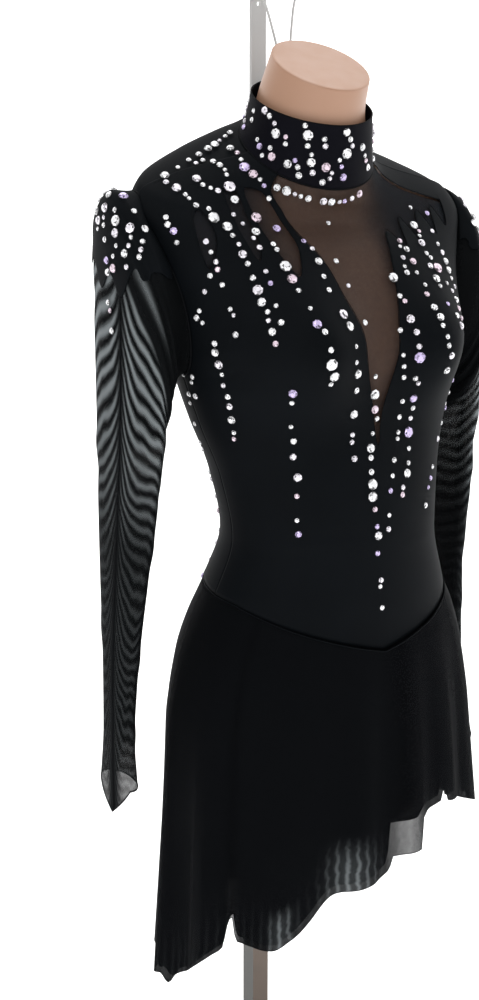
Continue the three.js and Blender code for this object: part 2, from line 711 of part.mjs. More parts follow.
function basePlate() {
  const corner = 24;
  const w = BASE.width / 2;
  const d = BASE.depth / 2;
  const outline = new THREE.Shape();
  outline.moveTo(-w + corner, -d);
  outline.lineTo(w - corner, -d);
  outline.absarc(w - corner, -d + corner, corner, -Math.PI / 2, 0);
  outline.absarc(w - corner, d - corner, corner, 0, Math.PI / 2);
  outline.absarc(-w + corner, d - corner, corner, Math.PI / 2, Math.PI);
  outline.absarc(-w + corner, -d + corner, corner, Math.PI, 1.5 * Math.PI);
  const settings = { depth: BASE.thick, bevelEnabled: false, curveSegments: 5 };
  const plate = new THREE.ExtrudeGeometry(outline, settings);
  plate.translate(0, BASE.y, 0);
  return plate;
}

function postTube() {
  const outerHalf = POST.size / 2;
  const innerHalf = outerHalf - POST.wall;
  const square = (half) => [[-half, -half], [half, -half], [half, half], [-half, half]];
  const outline = new THREE.Shape(square(outerHalf).map(([x, y]) => new THREE.Vector2(x, y)));
  outline.holes.push(new THREE.Path(square(innerHalf).map(([x, y]) => new THREE.Vector2(x, y))));
  const bottom = BASE.thick + GAP;
  const depth = WAIST_HEIGHT + POST.top - bottom;
  const tube = new THREE.ExtrudeGeometry(outline, { depth, bevelEnabled: false, steps: 1 });
  tube.translate(POST.x, POST.y, bottom);
  return tube;
}

function postBar() {
  const half = BAR.width / 2;
  const outline = new THREE.Shape();
  outline.moveTo(-half, BAR.bottom);
  outline.lineTo(half, BAR.bottom);
  outline.lineTo(half, BAR.top);
  outline.lineTo(-half, BAR.top);
  const hole = new THREE.Path();
  hole.absarc(0, BAR.holeLevel, BAR.hole / 2, 0, 2 * Math.PI, true);
  outline.holes.push(hole);
  const settings = { depth: BAR.thick, bevelEnabled: false, curveSegments: 6 };
  const bar = new THREE.ExtrudeGeometry(outline, settings);
  bar.rotateX(Math.PI / 2);
  bar.translate(POST.x, POST.y + BAR.thick / 2, WAIST_HEIGHT);
  return bar;
}

// A block in front of the bar's top end, which holds the arm
function postClamp() {
  const block = new THREE.BoxGeometry(26, 14, 34);
  const front = POST.y - BAR.thick / 2 - GAP;
  block.translate(POST.x, front - 7, WAIST_HEIGHT + ARM.level);
  return block;
}

function hangArm() {
  const clampFront = POST.y - BAR.thick / 2 - GAP - 14;
  const length = clampFront - GAP - ARM.front;
  const rod = new THREE.CylinderGeometry(ARM.radius, ARM.radius, length, 12);
  rod.translate(POST.x, ARM.front + length / 2, WAIST_HEIGHT + ARM.level);
  return rod;
}

function armStop() {
  const disc = new THREE.CylinderGeometry(7.5, 7.5, 4, 12);
  disc.translate(POST.x, ARM.front - GAP - 2, WAIST_HEIGHT + ARM.level);
  return disc;
}

// A stub at the back of the neck, above the collar, holds the two feet of the wire loop
function neckEye() {
  const seat = skin(90, EYE.level, -NECK_INSET + GAP + 0.9);
  const stub = new THREE.CylinderGeometry(EYE.radius, EYE.radius, EYE.length, 12);
  stub.translate(0, seat.y + EYE.length / 2 + 0.4, seat.z);
  return stub;
}

function hangWire() {
  const seat = skin(90, EYE.level, 0);
  const start = new THREE.Vector3(0, seat.y + EYE.length * 0.6, seat.z);
  const crown = WAIST_HEIGHT + ARM.level + ARM.radius + GAP + WIRE.radius;
  const stations = [
    { across: WIRE.foot, rise: 0 },
    { across: WIRE.foot + 3, rise: 0.2 },
    { across: WIRE.widest * 0.68, rise: 0.5 },
    { across: WIRE.widest, rise: 0.8 },
    { across: WIRE.widest * 0.7, rise: 0.96 },
    { across: 0, rise: 1 },
  ];
  const place = (sign) => ({ across, rise }) => new THREE.Vector3(
    sign * across + mix(0, POST.x, rise),
    mix(start.y, ARM.front + 6, rise),
    mix(start.z, crown, rise),
  );
  const right = stations.map(place(-1));
  const left = stations.slice(0, -1).map(place(1)).reverse();
  const section = new THREE.Shape();
  section.absarc(0, 0, WIRE.radius, 0, 2 * Math.PI);
  const path = new THREE.CatmullRomCurve3([...right, ...left], false, 'centripetal');
  return new THREE.ExtrudeGeometry(section, { steps: 26, curveSegments: 3, extrudePath: path });
}

// Materials and the finished group

const blackCloth = { color: 0x17191d, roughness: 0.62, metalness: 0 };
const blackMesh = { color: 0x2b2c2f, roughness: 0.8, metalness: 0 };
const skinPaint = { color: 0xdcbfae, roughness: 0.5, metalness: 0 };
const steel = { color: 0xbfc3c4, roughness: 0.35, metalness: 0.9 };
const greySteel = { color: 0x6b6a66, roughness: 0.45, metalness: 0.8 };
const darkPaint = { color: 0x26272a, roughness: 0.5, metalness: 0.3 };

const pieces = [
  ['dress_form', dressForm(), skinPaint],
  ['front_yoke', frontYoke(), blackMesh],
  ['front_bodice', frontBodice(), blackCloth],
  ['back_bodice', backBodice(), blackCloth],
  ['back_yoke_right', backYoke(-1), blackCloth],
  ['back_yoke_left', backYoke(1), blackCloth],
  ['collar', collar(), blackCloth],
  ['sleeve_right', sleeve(SLEEVE_RIGHT, -1), blackMesh],
  ['sleeve_left', sleeve(SLEEVE_LEFT, 1), blackMesh],
  ['shoulder_cap_right', shoulderCap(SLEEVE_RIGHT, -1), blackCloth],
  ['shoulder_cap_left', shoulderCap(SLEEVE_LEFT, 1), blackCloth],
  ['skirt_outer', skirt('outer'), blackMesh],
  ['skirt_inner', skirt('inner'), blackMesh],
  ['briefs', briefs(), blackCloth],
  ['gusset', gusset(), blackCloth],
  ['base_plate', basePlate(), darkPaint],
  ['post_tube', postTube(), greySteel],
  ['post_bar', postBar(), steel],
  ['post_clamp', postClamp(), darkPaint],
  ['hang_arm', hangArm(), steel],
  ['arm_stop', armStop(), darkPaint],
  ['neck_eye', neckEye(), steel],
  ['hang_wire', hangWire(), steel],
];
BUTTON.levels.forEach((level, i) => {
  pieces.push([`collar_button_${i + 1}`, button(level), darkPaint]);
});

const dressOnForm = new THREE.Group();
for (const [name, geometry, finish] of pieces) {
  const mesh = new THREE.Mesh(geometry, new THREE.MeshStandardMaterial(finish));
  mesh.name = name;
  dressOnForm.add(mesh);
}

export default dressOnForm;
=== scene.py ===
"""A long-sleeved figure skating dress on a limbless dress form, at the photograph's angle.

Lengths in the tables are millimetres and are turned into metres when a mesh is made.
Angles run anticlockwise seen from above: 0 left side, 90 back, 180 right side, 270 front.
A level is the height above the waist of the section that a point belongs to.
"""

import math
import random

import bmesh
import bpy
import numpy as np
from mathutils import Euler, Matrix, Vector


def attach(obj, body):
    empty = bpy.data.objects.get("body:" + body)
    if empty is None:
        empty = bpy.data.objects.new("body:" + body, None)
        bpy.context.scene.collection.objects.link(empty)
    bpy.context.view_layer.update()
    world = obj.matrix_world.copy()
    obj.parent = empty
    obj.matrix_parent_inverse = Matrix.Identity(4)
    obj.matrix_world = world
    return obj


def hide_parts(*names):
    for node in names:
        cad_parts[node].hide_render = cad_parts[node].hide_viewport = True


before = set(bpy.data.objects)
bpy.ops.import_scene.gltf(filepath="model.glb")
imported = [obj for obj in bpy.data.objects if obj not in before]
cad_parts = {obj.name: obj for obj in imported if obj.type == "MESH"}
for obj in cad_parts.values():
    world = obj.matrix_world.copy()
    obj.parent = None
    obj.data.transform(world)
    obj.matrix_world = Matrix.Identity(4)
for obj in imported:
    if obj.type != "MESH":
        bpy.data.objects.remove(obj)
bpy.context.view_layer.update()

WAIST_HEIGHT = 694.0
# How far the form lies inside the torso surface, and how far the two layers lie outside it
FORM_INSET = 3.2
NECK_INSET = 0.8
MESH_LAYER = 0.5
OPAQUE_LAYER = 2.4
NECK_LEVEL = 364.0
# The armholes, as levels and as half angles to the front and the back of each side
ARMHOLE_MIDDLE = 240.0
ARMHOLE_HALF_HEIGHT = 82.0
ARMHOLE_FRONT_ANGLE = 16.0
ARMHOLE_BACK_ANGLE = 33.0
UNDERARM = ARMHOLE_MIDDLE - ARMHOLE_HALF_HEIGHT
# Gaps in degrees that the two bodices and the sleeve's first row leave at the armhole
BODICE_GAP = 0.15
SLEEVE_GAP = 0.35
# Thickness of the cloths and radii of the seams and edges
MESH_THICK = 0.35
CLOTH_THICK = 0.6
COLLAR_THICK = 1.0
EDGE_RADIUS = 0.6
SEAM_RADIUS = 1.2

# Sections of the torso: level, tilt, lean, half width, front, back and middle
TORSO_COLUMNS = ("level", "tilt", "lean", "half", "front", "back", "middle")
TORSO = [
    (-293, 10, 0, 146, 92, 92, 12),
    (-250, 9, 0, 155, 102, 99, 14),
    (-195, 8, 0, 157, 110, 102, 14),
    (-130, 7, 0, 150, 108, 101, 11),
    (-60, 5, 2, 128, 99, 97, 2),
    (0, 3, 2, 111, 90, 89, -5),
    (60, 3, 2, 119, 93, 93, 3),
    (110, 4, 3, 135, 94, 99, 14),
    (158, 5, 4, 149, 99, 103, 22),
    (200, 6, 5, 159, 102, 100, 28),
    (250, 9, 6, 169, 94, 91, 37),
    (288, 15, 8, 181, 82, 80, 44),
    (309, 22, 9, 187, 71, 71, 48),
    (326, 30, 9, 177, 63, 66, 50),
    (338, 36, 9, 145, 58, 63, 48),
    (347, 38, 8, 110, 56, 62, 45),
    (355, 37, 5, 82, 57, 62, 41),
    (366, 32, 0, 65, 58, 60, 37),
    (384, 24, 0, 57, 56, 57, 33),
    (409, 17.5, 0, 52, 52, 53, 29),
    (445, 21.8, 0, 47.5, 47.5, 47.5, 15),
]
# The swell of the bust: its middle across and in level, its half widths and how far out
BUST_SIDE = 79.0
BUST_LEVEL = 196.0
BUST_REACH = 54.0
BUST_TALL = 60.0
BUST_OUT = 42.0

# Sleeve sections: along, outermost x and z, innermost x and z, middle, half depth, raise
SLEEVE_COLUMNS = ("along", "outX", "outZ", "inX", "inZ", "middle", "half", "raise")
SLEEVE_RIGHT = [
    (0.00, 186, 328, 150, 162, 48, 50, 0.30),
    (0.06, 199, 330, 158, 156, 51, 58, 0.40),
    (0.13, 208, 311, 163, 148, 51, 62, 0.36),
    (0.22, 212, 268, 168, 134, 50, 62, 0.26),
    (0.34, 212, 198, 173, 108, 50, 59, 0.14),
    (0.46, 213, 120, 178, 70, 50, 54, 0.06),
    (0.58, 216, 40, 183, 16, 50, 47, 0),
    (0.70, 220, -40, 190, -48, 49, 37, 0),
    (0.82, 224, -120, 198, -122, 46, 27, 0),
    (0.92, 227, -190, 205, -190, 43, 24, 0),
    (1.00, 230, -246, 208, -240, 39, 31, 0),
]
SLEEVE_LEFT = [
    (0.00, 186, 314, 148, 154, 48, 50, 0.30),
    (0.06, 200, 304, 156, 147, 49, 58, 0.38),
    (0.13, 210, 278, 160, 138, 50, 61, 0.34),
    (0.22, 214, 236, 163, 124, 50, 61, 0.26),
    (0.34, 212, 172, 166, 98, 50, 58, 0.14),
    (0.46, 208, 98, 168, 58, 51, 54, 0.06),
    (0.58, 206, 18, 171, 2, 52, 47, 0),
    (0.70, 208, -62, 178, -64, 53, 37, 0),
    (0.82, 213, -142, 188, -140, 54, 27, 0),
    (0.92, 221, -222, 199, -218, 55, 24, 0),
    (1.00, 230, -288, 208, -280, 55, 31, 0),
]
# Each sleeve's table, its side across and its name
SLEEVES = ((SLEEVE_RIGHT, -1, "right"), (SLEEVE_LEFT, 1, "left"))
# The point of each cuff: its turn round the sleeve, how far it reaches and its half width
CUFF_POINT_ANGLE = 98.0
CUFF_POINT_REACH = 26.0
CUFF_POINT_SPREAD = 60.0

# Hem of the skirt: angle, drop below the waist, flare, and how much shorter the inner layer is
HEM_COLUMNS = ("angle", "drop", "flare", "underlap")
HEM = [
    (0, 338, 22, 8),
    (30, 362, 22, 6),
    (60, 402, 18, 6),
    (78, 423, 4, 6),
    (96, 440, 4, 6),
    (116, 458, 15, 6),
    (146, 470, 13, 6),
    (172, 460, 10, 5),
    (176, 457, 11, 5),
    (179, 466, 12, 6),
    (182, 455, 13, 5),
    (190, 442, 16, 4),
    (206, 406, 18, 4),
    (209, 399, 18, 4),
    (210.5, 372, 18, 2),
    (212, 368, 18, 2),
    (213.5, 394, 18, 4),
    (228, 393, 20, 4),
    (234, 383, 21, 5),
    (240, 368, 22, 6),
    (250, 339, 23, 6),
    (264, 333, 24, 6),
    (269.5, 326, 25, 7),
    (271, 312, 25, 34),
    (281, 311, 26, 33),
    (283, 279, 27, 6),
    (293, 272, 27, 5),
    (294.5, 258, 27, 4),
    (296, 274, 27, 5),
    (302, 278, 27, 6),
    (320, 302, 27, 14),
    (340, 322, 24, 12),
]
# Folds of the skirt: angle, half width in degrees, and how far the crest stands out
FOLDS = [
    (8, 9, -7), (26, 9, 8), (44, 9, -7), (62, 9, 9), (87, 14, -5), (108, 8, 8),
    (122, 8, -7), (138, 8, 9), (155, 8, -8), (172, 7, 10), (188, 7, -8), (202, 6, 8),
    (214, 6, -9), (228, 8, 6), (246, 7, -8), (258, 6, 7), (268, 5, -8), (279, 6, 8),
    (289, 5, -7), (299, 6, 8), (309, 5, -7), (320, 7, 8), (335, 8, -7), (351, 8, 7),
]
# Small uneven waves between the folds: angle, half width, out
RIPPLES = [
    (14, 3.2, 1.6), (35, 2.6, -1.4), (52, 3.0, 1.5), (100, 2.4, 1.6), (115, 2.2, -1.5),
    (130, 2.6, 1.4), (147, 2.4, -1.6), (163, 2.2, 1.6), (180, 2.6, -1.5), (195, 2.0, 1.7),
    (208, 2.2, 1.5), (221, 2.4, -1.5), (237, 2.6, 1.7), (252, 2.0, -1.5), (263, 1.8, 1.5),
    (274, 2.0, -1.6), (284, 1.8, 1.4), (294, 2.0, 1.5), (304, 1.8, -1.5), (314, 2.2, 1.4),
    (328, 2.4, -1.5), (343, 2.6, 1.6),
]

# Outlines of the mesh windows on the wearer's right, seen from the front: x, z
KEYHOLE = [
    (-2, 98), (-6, 130), (-18, 176), (-22, 206), (-32, 238), (-38, 266), (-51, 292),
    (-58, 312), (-66, 332), (-52, 352),
]
WINDOW_NEAR = [
    (-73, 258), (-60, 278), (-60, 296), (-66, 314), (-75, 331), (-90, 334), (-89, 312),
    (-85, 286),
]
WINDOW_MIDDLE = [
    (-103, 272), (-95, 292), (-96, 314), (-98, 333), (-110, 335), (-110, 316), (-109, 292),
]
WINDOW_FAR = [
    (-145, 266), (-135, 288), (-134, 306), (-140, 318), (-149, 310), (-150, 288),
]
# The wearer's left side of the same opening, which runs on to the shoulder: x, z downwards
OPEN_LEFT = [
    (52, 352), (84, 343), (110, 338), (136, 328), (152, 312), (148, 292), (141, 286),
    (131, 304), (121, 280), (108, 302), (92, 276), (80, 298), (68, 272), (54, 288),
    (40, 262), (32, 238), (22, 206), (18, 176), (6, 130), (2, 98),
]
YOKE_EDGE = [(0, 84), (14, 110), (34, 196), (58, 244), (118, 252), (200, 250)]
# Lower edge of the opaque cap on the sleeve head, seen from the side: y, z
CAP_EDGE = [
    (-40, 322), (-12, 290), (2, 258), (14, 268), (32, 240), (50, 260), (68, 244),
    (86, 270), (104, 266), (140, 330),
]

# The collar: level and how far it stands out from the neck
COLLAR = [(364.8, 1.4), (374, 2.6), (390, 4.6), (409, 6.0)]


# Curves through the tables


def curve_through(rows, columns):
    """A function of the first column that gives the others, without overshoot."""
    places = np.array([row[0] for row in rows], float)
    steps = np.diff(places)
    curves = {}
    for k, name in enumerate(columns[1:], start=1):
        values = np.array([row[k] for row in rows], float)
        slopes = np.diff(values) / steps
        tangents = np.zeros(len(rows))
        tangents[0] = slopes[0]
        tangents[-1] = slopes[-1]
        for i in range(1, len(rows) - 1):
            before = slopes[i - 1]
            after = slopes[i]
            if before * after > 0:
                w1 = 2 * steps[i] + steps[i - 1]
                w2 = steps[i] + 2 * steps[i - 1]
                tangents[i] = (w1 + w2) / (w1 / before + w2 / after)
        curves[name] = (values, tangents)

    def at(value):
        held = np.clip(np.asarray(value, float), places[0], places[-1])
        i = np.clip(np.searchsorted(places, held, side="right") - 1, 0, len(steps) - 1)
        h = steps[i]
        t = (held - places[i]) / h
        result = {}
        for name, (values, tangents) in curves.items():
            result[name] = (
                (2 * t**3 - 3 * t**2 + 1) * values[i]
                + (t**3 - 2 * t**2 + t) * h * tangents[i]
                + (3 * t**2 - 2 * t**3) * values[i + 1]
                + (t**3 - t**2) * h * tangents[i + 1]
            )
        return result

    return at


def round_the_body(rows, columns):
    """The same for a table of angles, which runs on past a full turn."""
    before = [(row[0] - 360, *row[1:]) for row in rows[-2:]]
    after = [(row[0] + 360, *row[1:]) for row in rows[:2]]
    curve = curve_through(before + rows + after, columns)
    return lambda angle: curve(np.mod(angle, 360))


torso_at = curve_through(TORSO, TORSO_COLUMNS)
hem_at = round_the_body(HEM, HEM_COLUMNS)
collar_at = curve_through(COLLAR, ("level", "out"))


def mix(a, b, share):
    return a + (b - a) * share


def smooth(value, low, high):
    """Rises smoothly from 0 at low to 1 at high."""
    t = np.clip((np.asarray(value, float) - low) / (high - low), 0, 1)
    return t * t * (3 - 2 * t)


def turned(angle, middle):
    """Degrees from the middle to the angle, the short way round."""
    return np.mod(angle - middle + 180, 360) - 180


def bump(angle, middle, width):
    """A soft hump round the body, 1 at the middle."""
    return np.exp(-((turned(angle, middle) / width) ** 2))


# Surface of the torso


def torso_point(angle, level):
    """A point of the torso, whose sections are two half ellipses with the bust added."""
    angle, level = np.broadcast_arrays(np.asarray(angle, float), np.asarray(level, float))
    section = torso_at(level)
    across = np.cos(np.radians(angle))
    back = np.sin(np.radians(angle))
    x = section["half"] * across
    depth = np.where(back > 0, section["back"], section["front"])
    y = section["middle"] + depth * back
    rise = np.exp(-(((level - BUST_LEVEL) / BUST_TALL) ** 2))
    for side in (-1, 1):
        out = np.exp(-(((x - side * BUST_SIDE) / BUST_REACH) ** 2))
        y = y - BUST_OUT * np.sqrt(np.maximum(0, -back)) * out * rise
    z = WAIST_HEIGHT + level + section["tilt"] * back - section["lean"] * across
    return np.stack([x, y, z], -1)


def normal_of(surface, u, v, du, dv):
    """The direction square to a surface, from its points a little to each side."""
    along_u = surface(u + du, v) - surface(u - du, v)
    along_v = surface(u, v + dv) - surface(u, v - dv)
    normal = np.cross(along_u, along_v)
    return normal / np.maximum(1e-9, np.linalg.norm(normal, axis=-1, keepdims=True))


def skin(angle, level, out):
    """The torso's point moved out along its normal."""
    normal = normal_of(torso_point, angle, level, 0.05, 0.5)
    return torso_point(angle, level) + normal * np.asarray(out, float)[..., None]


# Meshes


def add_object(name, data):
    """A new object in the scene."""
    made = bpy.data.objects.new(name, data)
    bpy.context.scene.collection.objects.link(made)
    return made


def new_piece(name, points, faces, material, uvs=None, smooth_shaded=True):
    """A visible mesh with its material, from points in millimetres."""
    mesh = bpy.data.meshes.new(name)
    mesh.from_pydata((np.asarray(points) / 1000.0).tolist(), [], faces)
    if smooth_shaded:
        mesh.shade_smooth()
    if uvs is not None:
        layer = mesh.uv_layers.new(name="cloth")
        corners = np.zeros(len(mesh.loops), dtype=np.int32)
        mesh.loops.foreach_get("vertex_index", corners)
        layer.data.foreach_set("uv", uvs[corners].astype(np.float32).ravel())
    piece = add_object(name, mesh)
    mesh.materials.append(material)
    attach(piece, "root")
    return piece


def ring_faces(rows, columns, closed=False):
    """Faces between rings of points, and from the last ring to the first if closed."""
    faces = []
    for i in range(rows if closed else rows - 1):
        low = i * columns
        high = (i + 1) % rows * columns
        for j in range(columns):
            k = (j + 1) % columns
            faces.append((low + j, low + k, high + k, high + j))
    return faces


def cloth_wall(name, at_out, thick, material, around=False):
    """A closed thin shell of cloth, round or with four edges. at_out gives the grid of
    points that lies a given way out from the middle of the cloth."""
    outer = at_out(thick / 2)
    inner = at_out(-thick / 2)
    rows, columns = outer.shape[:2]
    points = np.concatenate([outer.reshape(-1, 3), inner.reshape(-1, 3)])
    half = rows * columns
    spans = columns if around else columns - 1
    faces = []

    def at(i, j, behind=False):
        return i * columns + j % columns + (half if behind else 0)

    for j in range(spans):
        for i in range(rows - 1):
            faces.append((at(i, j), at(i, j + 1), at(i + 1, j + 1), at(i + 1, j)))
            faces.append(
                (at(i, j, True), at(i + 1, j, True), at(i + 1, j + 1, True), at(i, j + 1, True))
            )
        last = rows - 1
        faces.append((at(0, j, True), at(0, j + 1, True), at(0, j + 1), at(0, j)))
        faces.append((at(last, j), at(last, j + 1), at(last, j + 1, True), at(last, j, True)))
    if not around:
        end = columns - 1
        for i in range(rows - 1):
            faces.append((at(i, 0, True), at(i, 0), at(i + 1, 0), at(i + 1, 0, True)))
            faces.append((at(i, end), at(i, end, True), at(i + 1, end, True), at(i + 1, end)))
    share_u = np.linspace(0, 1, columns + 1)[:columns] if around else np.linspace(0, 1, columns)
    grid_u, grid_v = np.meshgrid(share_u, np.linspace(0, 1, rows))
    uvs = np.stack([grid_u.ravel(), grid_v.ravel()], -1)
    uvs = np.concatenate([uvs, uvs])
    return new_piece(name, points, faces, material, uvs)


def tube_along(name, path, radius, closed=False, sides=6, cloth=None):
    """A round seam of thread or cloth along a path of points, with flat ends unless it
    closes."""
    path = np.asarray(path, float)
    count = len(path)
    if closed:
        tangents = np.roll(path, -1, 0) - np.roll(path, 1, 0)
    else:
        tangents = np.gradient(path, axis=0)
    tangents /= np.maximum(1e-9, np.linalg.norm(tangents, axis=1, keepdims=True))
    normal = np.cross(tangents[0], (0.3, 0.2, 1.0))
    rings = []
    for i in range(count):
        normal = normal - tangents[i] * np.dot(normal, tangents[i])
        normal /= max(1e-9, np.linalg.norm(normal))
        binormal = np.cross(tangents[i], normal)
        for k in range(sides):
            turn = 2 * math.pi * k / sides
            rings.append(path[i] + radius * (math.cos(turn) * normal + math.sin(turn) * binormal))
    faces = ring_faces(count, sides, closed)
    if not closed:
        faces.append(tuple(range(sides))[::-1])
        faces.append(tuple((count - 1) * sides + k for k in range(sides)))
    return new_piece(name, np.array(rings), faces, cloth or THREAD)


def smooth_line(points, steps, closed=False):
    """A Catmull-Rom line through a few points."""
    points = [np.asarray(p, float) for p in points]
    count = len(points)
    line = []
    spans = count if closed else count - 1
    for i in range(spans):
        p1 = points[i]
        p2 = points[(i + 1) % count]
        p0 = points[i - 1] if closed or i > 0 else 2 * p1 - p2
        after = (i + 2) % count
        p3 = points[after] if closed or i + 2 < count else 2 * p2 - p1
        for s in range(steps):
            t = s / steps
            line.append(
                0.5 * (2 * p1 + (p2 - p0) * t + (2 * p0 - 5 * p1 + 4 * p2 - p3) * t**2
                       + (3 * p1 - p0 - 3 * p2 + p3) * t**3)
            )
    if not closed:
        line.append(points[-1])
    return np.array(line)


# Materials


class Value:
    """A shader value that plain arithmetic works on."""

    def __init__(self, nodes, socket):
        self.nodes = nodes
        self.socket = socket

    def __add__(self, other):
        return self.nodes.math("ADD", self, other)

    def __radd__(self, other):
        return self.nodes.math("ADD", other, self)

    def __sub__(self, other):
        return self.nodes.math("SUBTRACT", self, other)

    def __rsub__(self, other):
        return self.nodes.math("SUBTRACT", other, self)

    def __mul__(self, other):
        return self.nodes.math("MULTIPLY", self, other)

    def __truediv__(self, other):
        return self.nodes.math("DIVIDE", self, other)

    def __pow__(self, other):
        return self.nodes.math("POWER", self, other)


class Nodes:
    """A short way to build one material's node tree."""

    def __init__(self, name):
        self.material = bpy.data.materials.new(name)
        self.material.use_nodes = True
        self.tree = self.material.node_tree
        self.tree.nodes.clear()
        self.output = self.add("ShaderNodeOutputMaterial")

    def add(self, kind, inputs=None, **settings):
        node = self.tree.nodes.new(kind)
        for name, value in settings.items():
            setattr(node, name, value)
        for name, value in (inputs or {}).items():
            if isinstance(value, Value):
                value = value.socket
            if isinstance(value, bpy.types.NodeSocket):
                self.tree.links.new(value, node.inputs[name])
            else:
                node.inputs[name].default_value = value
        return node

    def math(self, operation, a, b=0.0, clamp=False):
        node = self.add("ShaderNodeMath", {0: a, 1: b}, operation=operation, use_clamp=clamp)
        return Value(self, node.outputs[0])

    def map_range(self, value, low, high, to_low, to_high):
        node = self.add(
            "ShaderNodeMapRange",
            {"Value": value, "From Min": low, "From Max": high, "To Min": to_low, "To Max": to_high},
        )
        return Value(self, node.outputs[0])

    def step_up(self, value, low, high):
        """Rises smoothly from 0 at low to 1 at high."""
        node = self.add(
            "ShaderNodeMapRange", {"Value": value, "From Min": low, "From Max": high},
            interpolation_type="SMOOTHSTEP",
        )
        return Value(self, node.outputs[0])

    def band(self, value, middle, half):
        """1 at the middle, falling away smoothly on both sides."""
        off = (value - middle) / half
        return self.math("EXPONENT", off * off * -1.0)

    def noise(self, scale, detail, coordinates="Object"):
        place = self.add("ShaderNodeTexCoord").outputs[coordinates]
        node = self.add(
            "ShaderNodeTexNoise", {"Vector": place, "Scale": scale, "Detail": detail}
        )
        return Value(self, node.outputs[0])

    def axis(self, vector, index):
        return Value(self, self.add("ShaderNodeSeparateXYZ", {0: vector}).outputs[index])

    def spread(self, noise, low, high):
        """Brings the noise's usual range to a range of values."""
        return self.map_range(noise, 0.3, 0.7, low, high)

    def relief(self, height, strength, distance):
        node = self.add(
            "ShaderNodeBump", {"Strength": strength, "Distance": distance, "Height": height}
        )
        return node.outputs[0]

    def body(self, inputs):
        return self.add("ShaderNodeBsdfPrincipled", inputs).outputs[0]

    def cloth_place(self):
        """How far round a piece of cloth in degrees, and what share of the way down."""
        uv = self.add("ShaderNodeTexCoord").outputs["UV"]
        return self.axis(uv, 0) * 360.0, self.axis(uv, 1)

    def blend(self, share, first, second):
        node = self.add(
            "ShaderNodeMix", {0: share, 6: colour(*first), 7: colour(*second)},
            data_type="RGBA",
        )
        return node.outputs[2]

    def see_through(self, cover, body):
        """The body over what lies behind it, by the cover."""
        clear = self.add("ShaderNodeBsdfTransparent", {"Color": colour(1, 1, 1)})
        mixed = self.add(
            "ShaderNodeMixShader", {0: cover, 1: clear.outputs[0], 2: body}
        )
        return self.surface(mixed.outputs[0])

    def surface(self, shader):
        self.tree.links.new(shader, self.output.inputs["Surface"])
        return self.material


def colour(r, g, b):
    return (r, g, b, 1.0)


def knit_cloth(name, base, roughness, grain=900.0):
    """Opaque stretch cloth with a fine knitted grain and a slightly uneven tone."""
    n = Nodes(name)
    tone = n.spread(n.noise(14.0, 3.0), 0.85, 1.15)
    shade = n.add("ShaderNodeVectorMath", {0: base, 3: tone}, operation="SCALE")
    return n.surface(n.body({
        "Base Color": shade.outputs[0],
        "Roughness": roughness,
        "Specular IOR Level": 0.05,
        "Normal": n.relief(n.noise(grain, 2.0), 0.12, 0.0004),
    }))


def mesh_cloth(name, base, cover, bands=None):
    """Sheer mesh: each face of the thin shell covers a share of what lies behind it.
    bands gives what is added to the cover and how far the colour turns to the painted
    light shade, which stands in for light showing through the mesh and for highlights."""
    n = Nodes(name)
    more = n.spread(n.noise(260.0, 1.0), -0.015, 0.015)
    facing = Value(n, n.add("ShaderNodeLayerWeight", {"Blend": 0.35}).outputs["Facing"])
    total = facing**3.0 * 0.42 + more + cover
    shade = colour(*base)
    if bands:
        extra, light = bands(n)
        total = total + extra
        # Painted light: the colour turns towards a light grey where light shows through or a
        # highlight falls.
        shade = n.blend(light, base, PAINTED_LIGHT_SHADE)
    body = n.body({"Base Color": shade, "Roughness": 0.7, "Specular IOR Level": 0.02})
    opacity = n.math("MINIMUM", n.math("MAXIMUM", total, 0.05), 0.99)
    return n.see_through(opacity, body)


def yoke_side_shade(n):
    """The yoke's mesh covers more towards each side: painted shade over the form's shaded sides."""
    across = n.axis(n.add("ShaderNodeTexCoord").outputs["Object"], 0)
    # Painted shade: the cover grows towards the wearer's right and left sides.
    right = n.step_up(across * -1.0, 0.050, 0.115) * 0.30
    left = n.step_up(across, 0.020, 0.085) * 0.30
    return right + left, 0.0


def sleeve_bands(n):
    """The doubled mesh's arched moire bands, painted as light where light shows through the
    two layers, the dark seam down the sleeve, and a painted highlight and painted shade on
    the creases below its head."""
    turn, down = n.cloth_place()
    wobble = (n.noise(7.0, 1.5, "UV") - 0.5) * 0.055
    across = n.math("ABSOLUTE", turn - SLEEVE_SEAM_TURN)
    swoop = 1.0 - n.math("EXPONENT", across / -14.0)
    place = down - swoop * 0.08 + wobble
    # The moire's crests are painted light, where light shows through the doubled mesh.
    wave = n.math("SINE", place * 100.0 + place * place * 150.0)
    crest = n.map_range(wave, -1.0, 1.0, 0.0, 1.0) ** 1.6
    fold_line = n.math("MAXIMUM", turn - 92.0, 0.0) * 0.00103 + 0.255
    start = n.step_up(down - fold_line, -0.01, 0.03)
    fade = n.map_range(down, 0.44, 0.66, 1.0, 0.10)
    seam = n.band(turn, SLEEVE_SEAM_TURN, 8.0)
    inner_side = n.step_up(turn, 176.0, 196.0)
    strength = start * fade * (1.0 - seam) * n.map_range(inner_side, 0.0, 1.0, 1.0, 0.25)
    # A painted highlight along a crease slash below the head.
    wedge = n.band(down - (turn * 0.00022 + 0.20), 0.0, 0.015) * n.band(turn, 142.0, 22.0)
    light = n.math("ADD", crest * strength * 0.95, wedge * 0.5, clamp=True)
    # Painted shade: more cover on the sleeve head above the crease line, where it lies in shade.
    dark = (1.0 - start) * n.step_up(turn, 96.0, 120.0) * (1.0 - wedge)
    cuff = n.step_up(down, 0.925, 0.95)
    tip = n.band(turn, SLEEVE_SEAM_TURN, 20.0) * cuff
    extra = dark * 0.34 + seam * 0.16 - wave * 0.03
    extra = extra + n.step_up(down, 0.40, 0.70) * 0.20 - cuff * 0.20 + tip * 0.34
    return extra, light


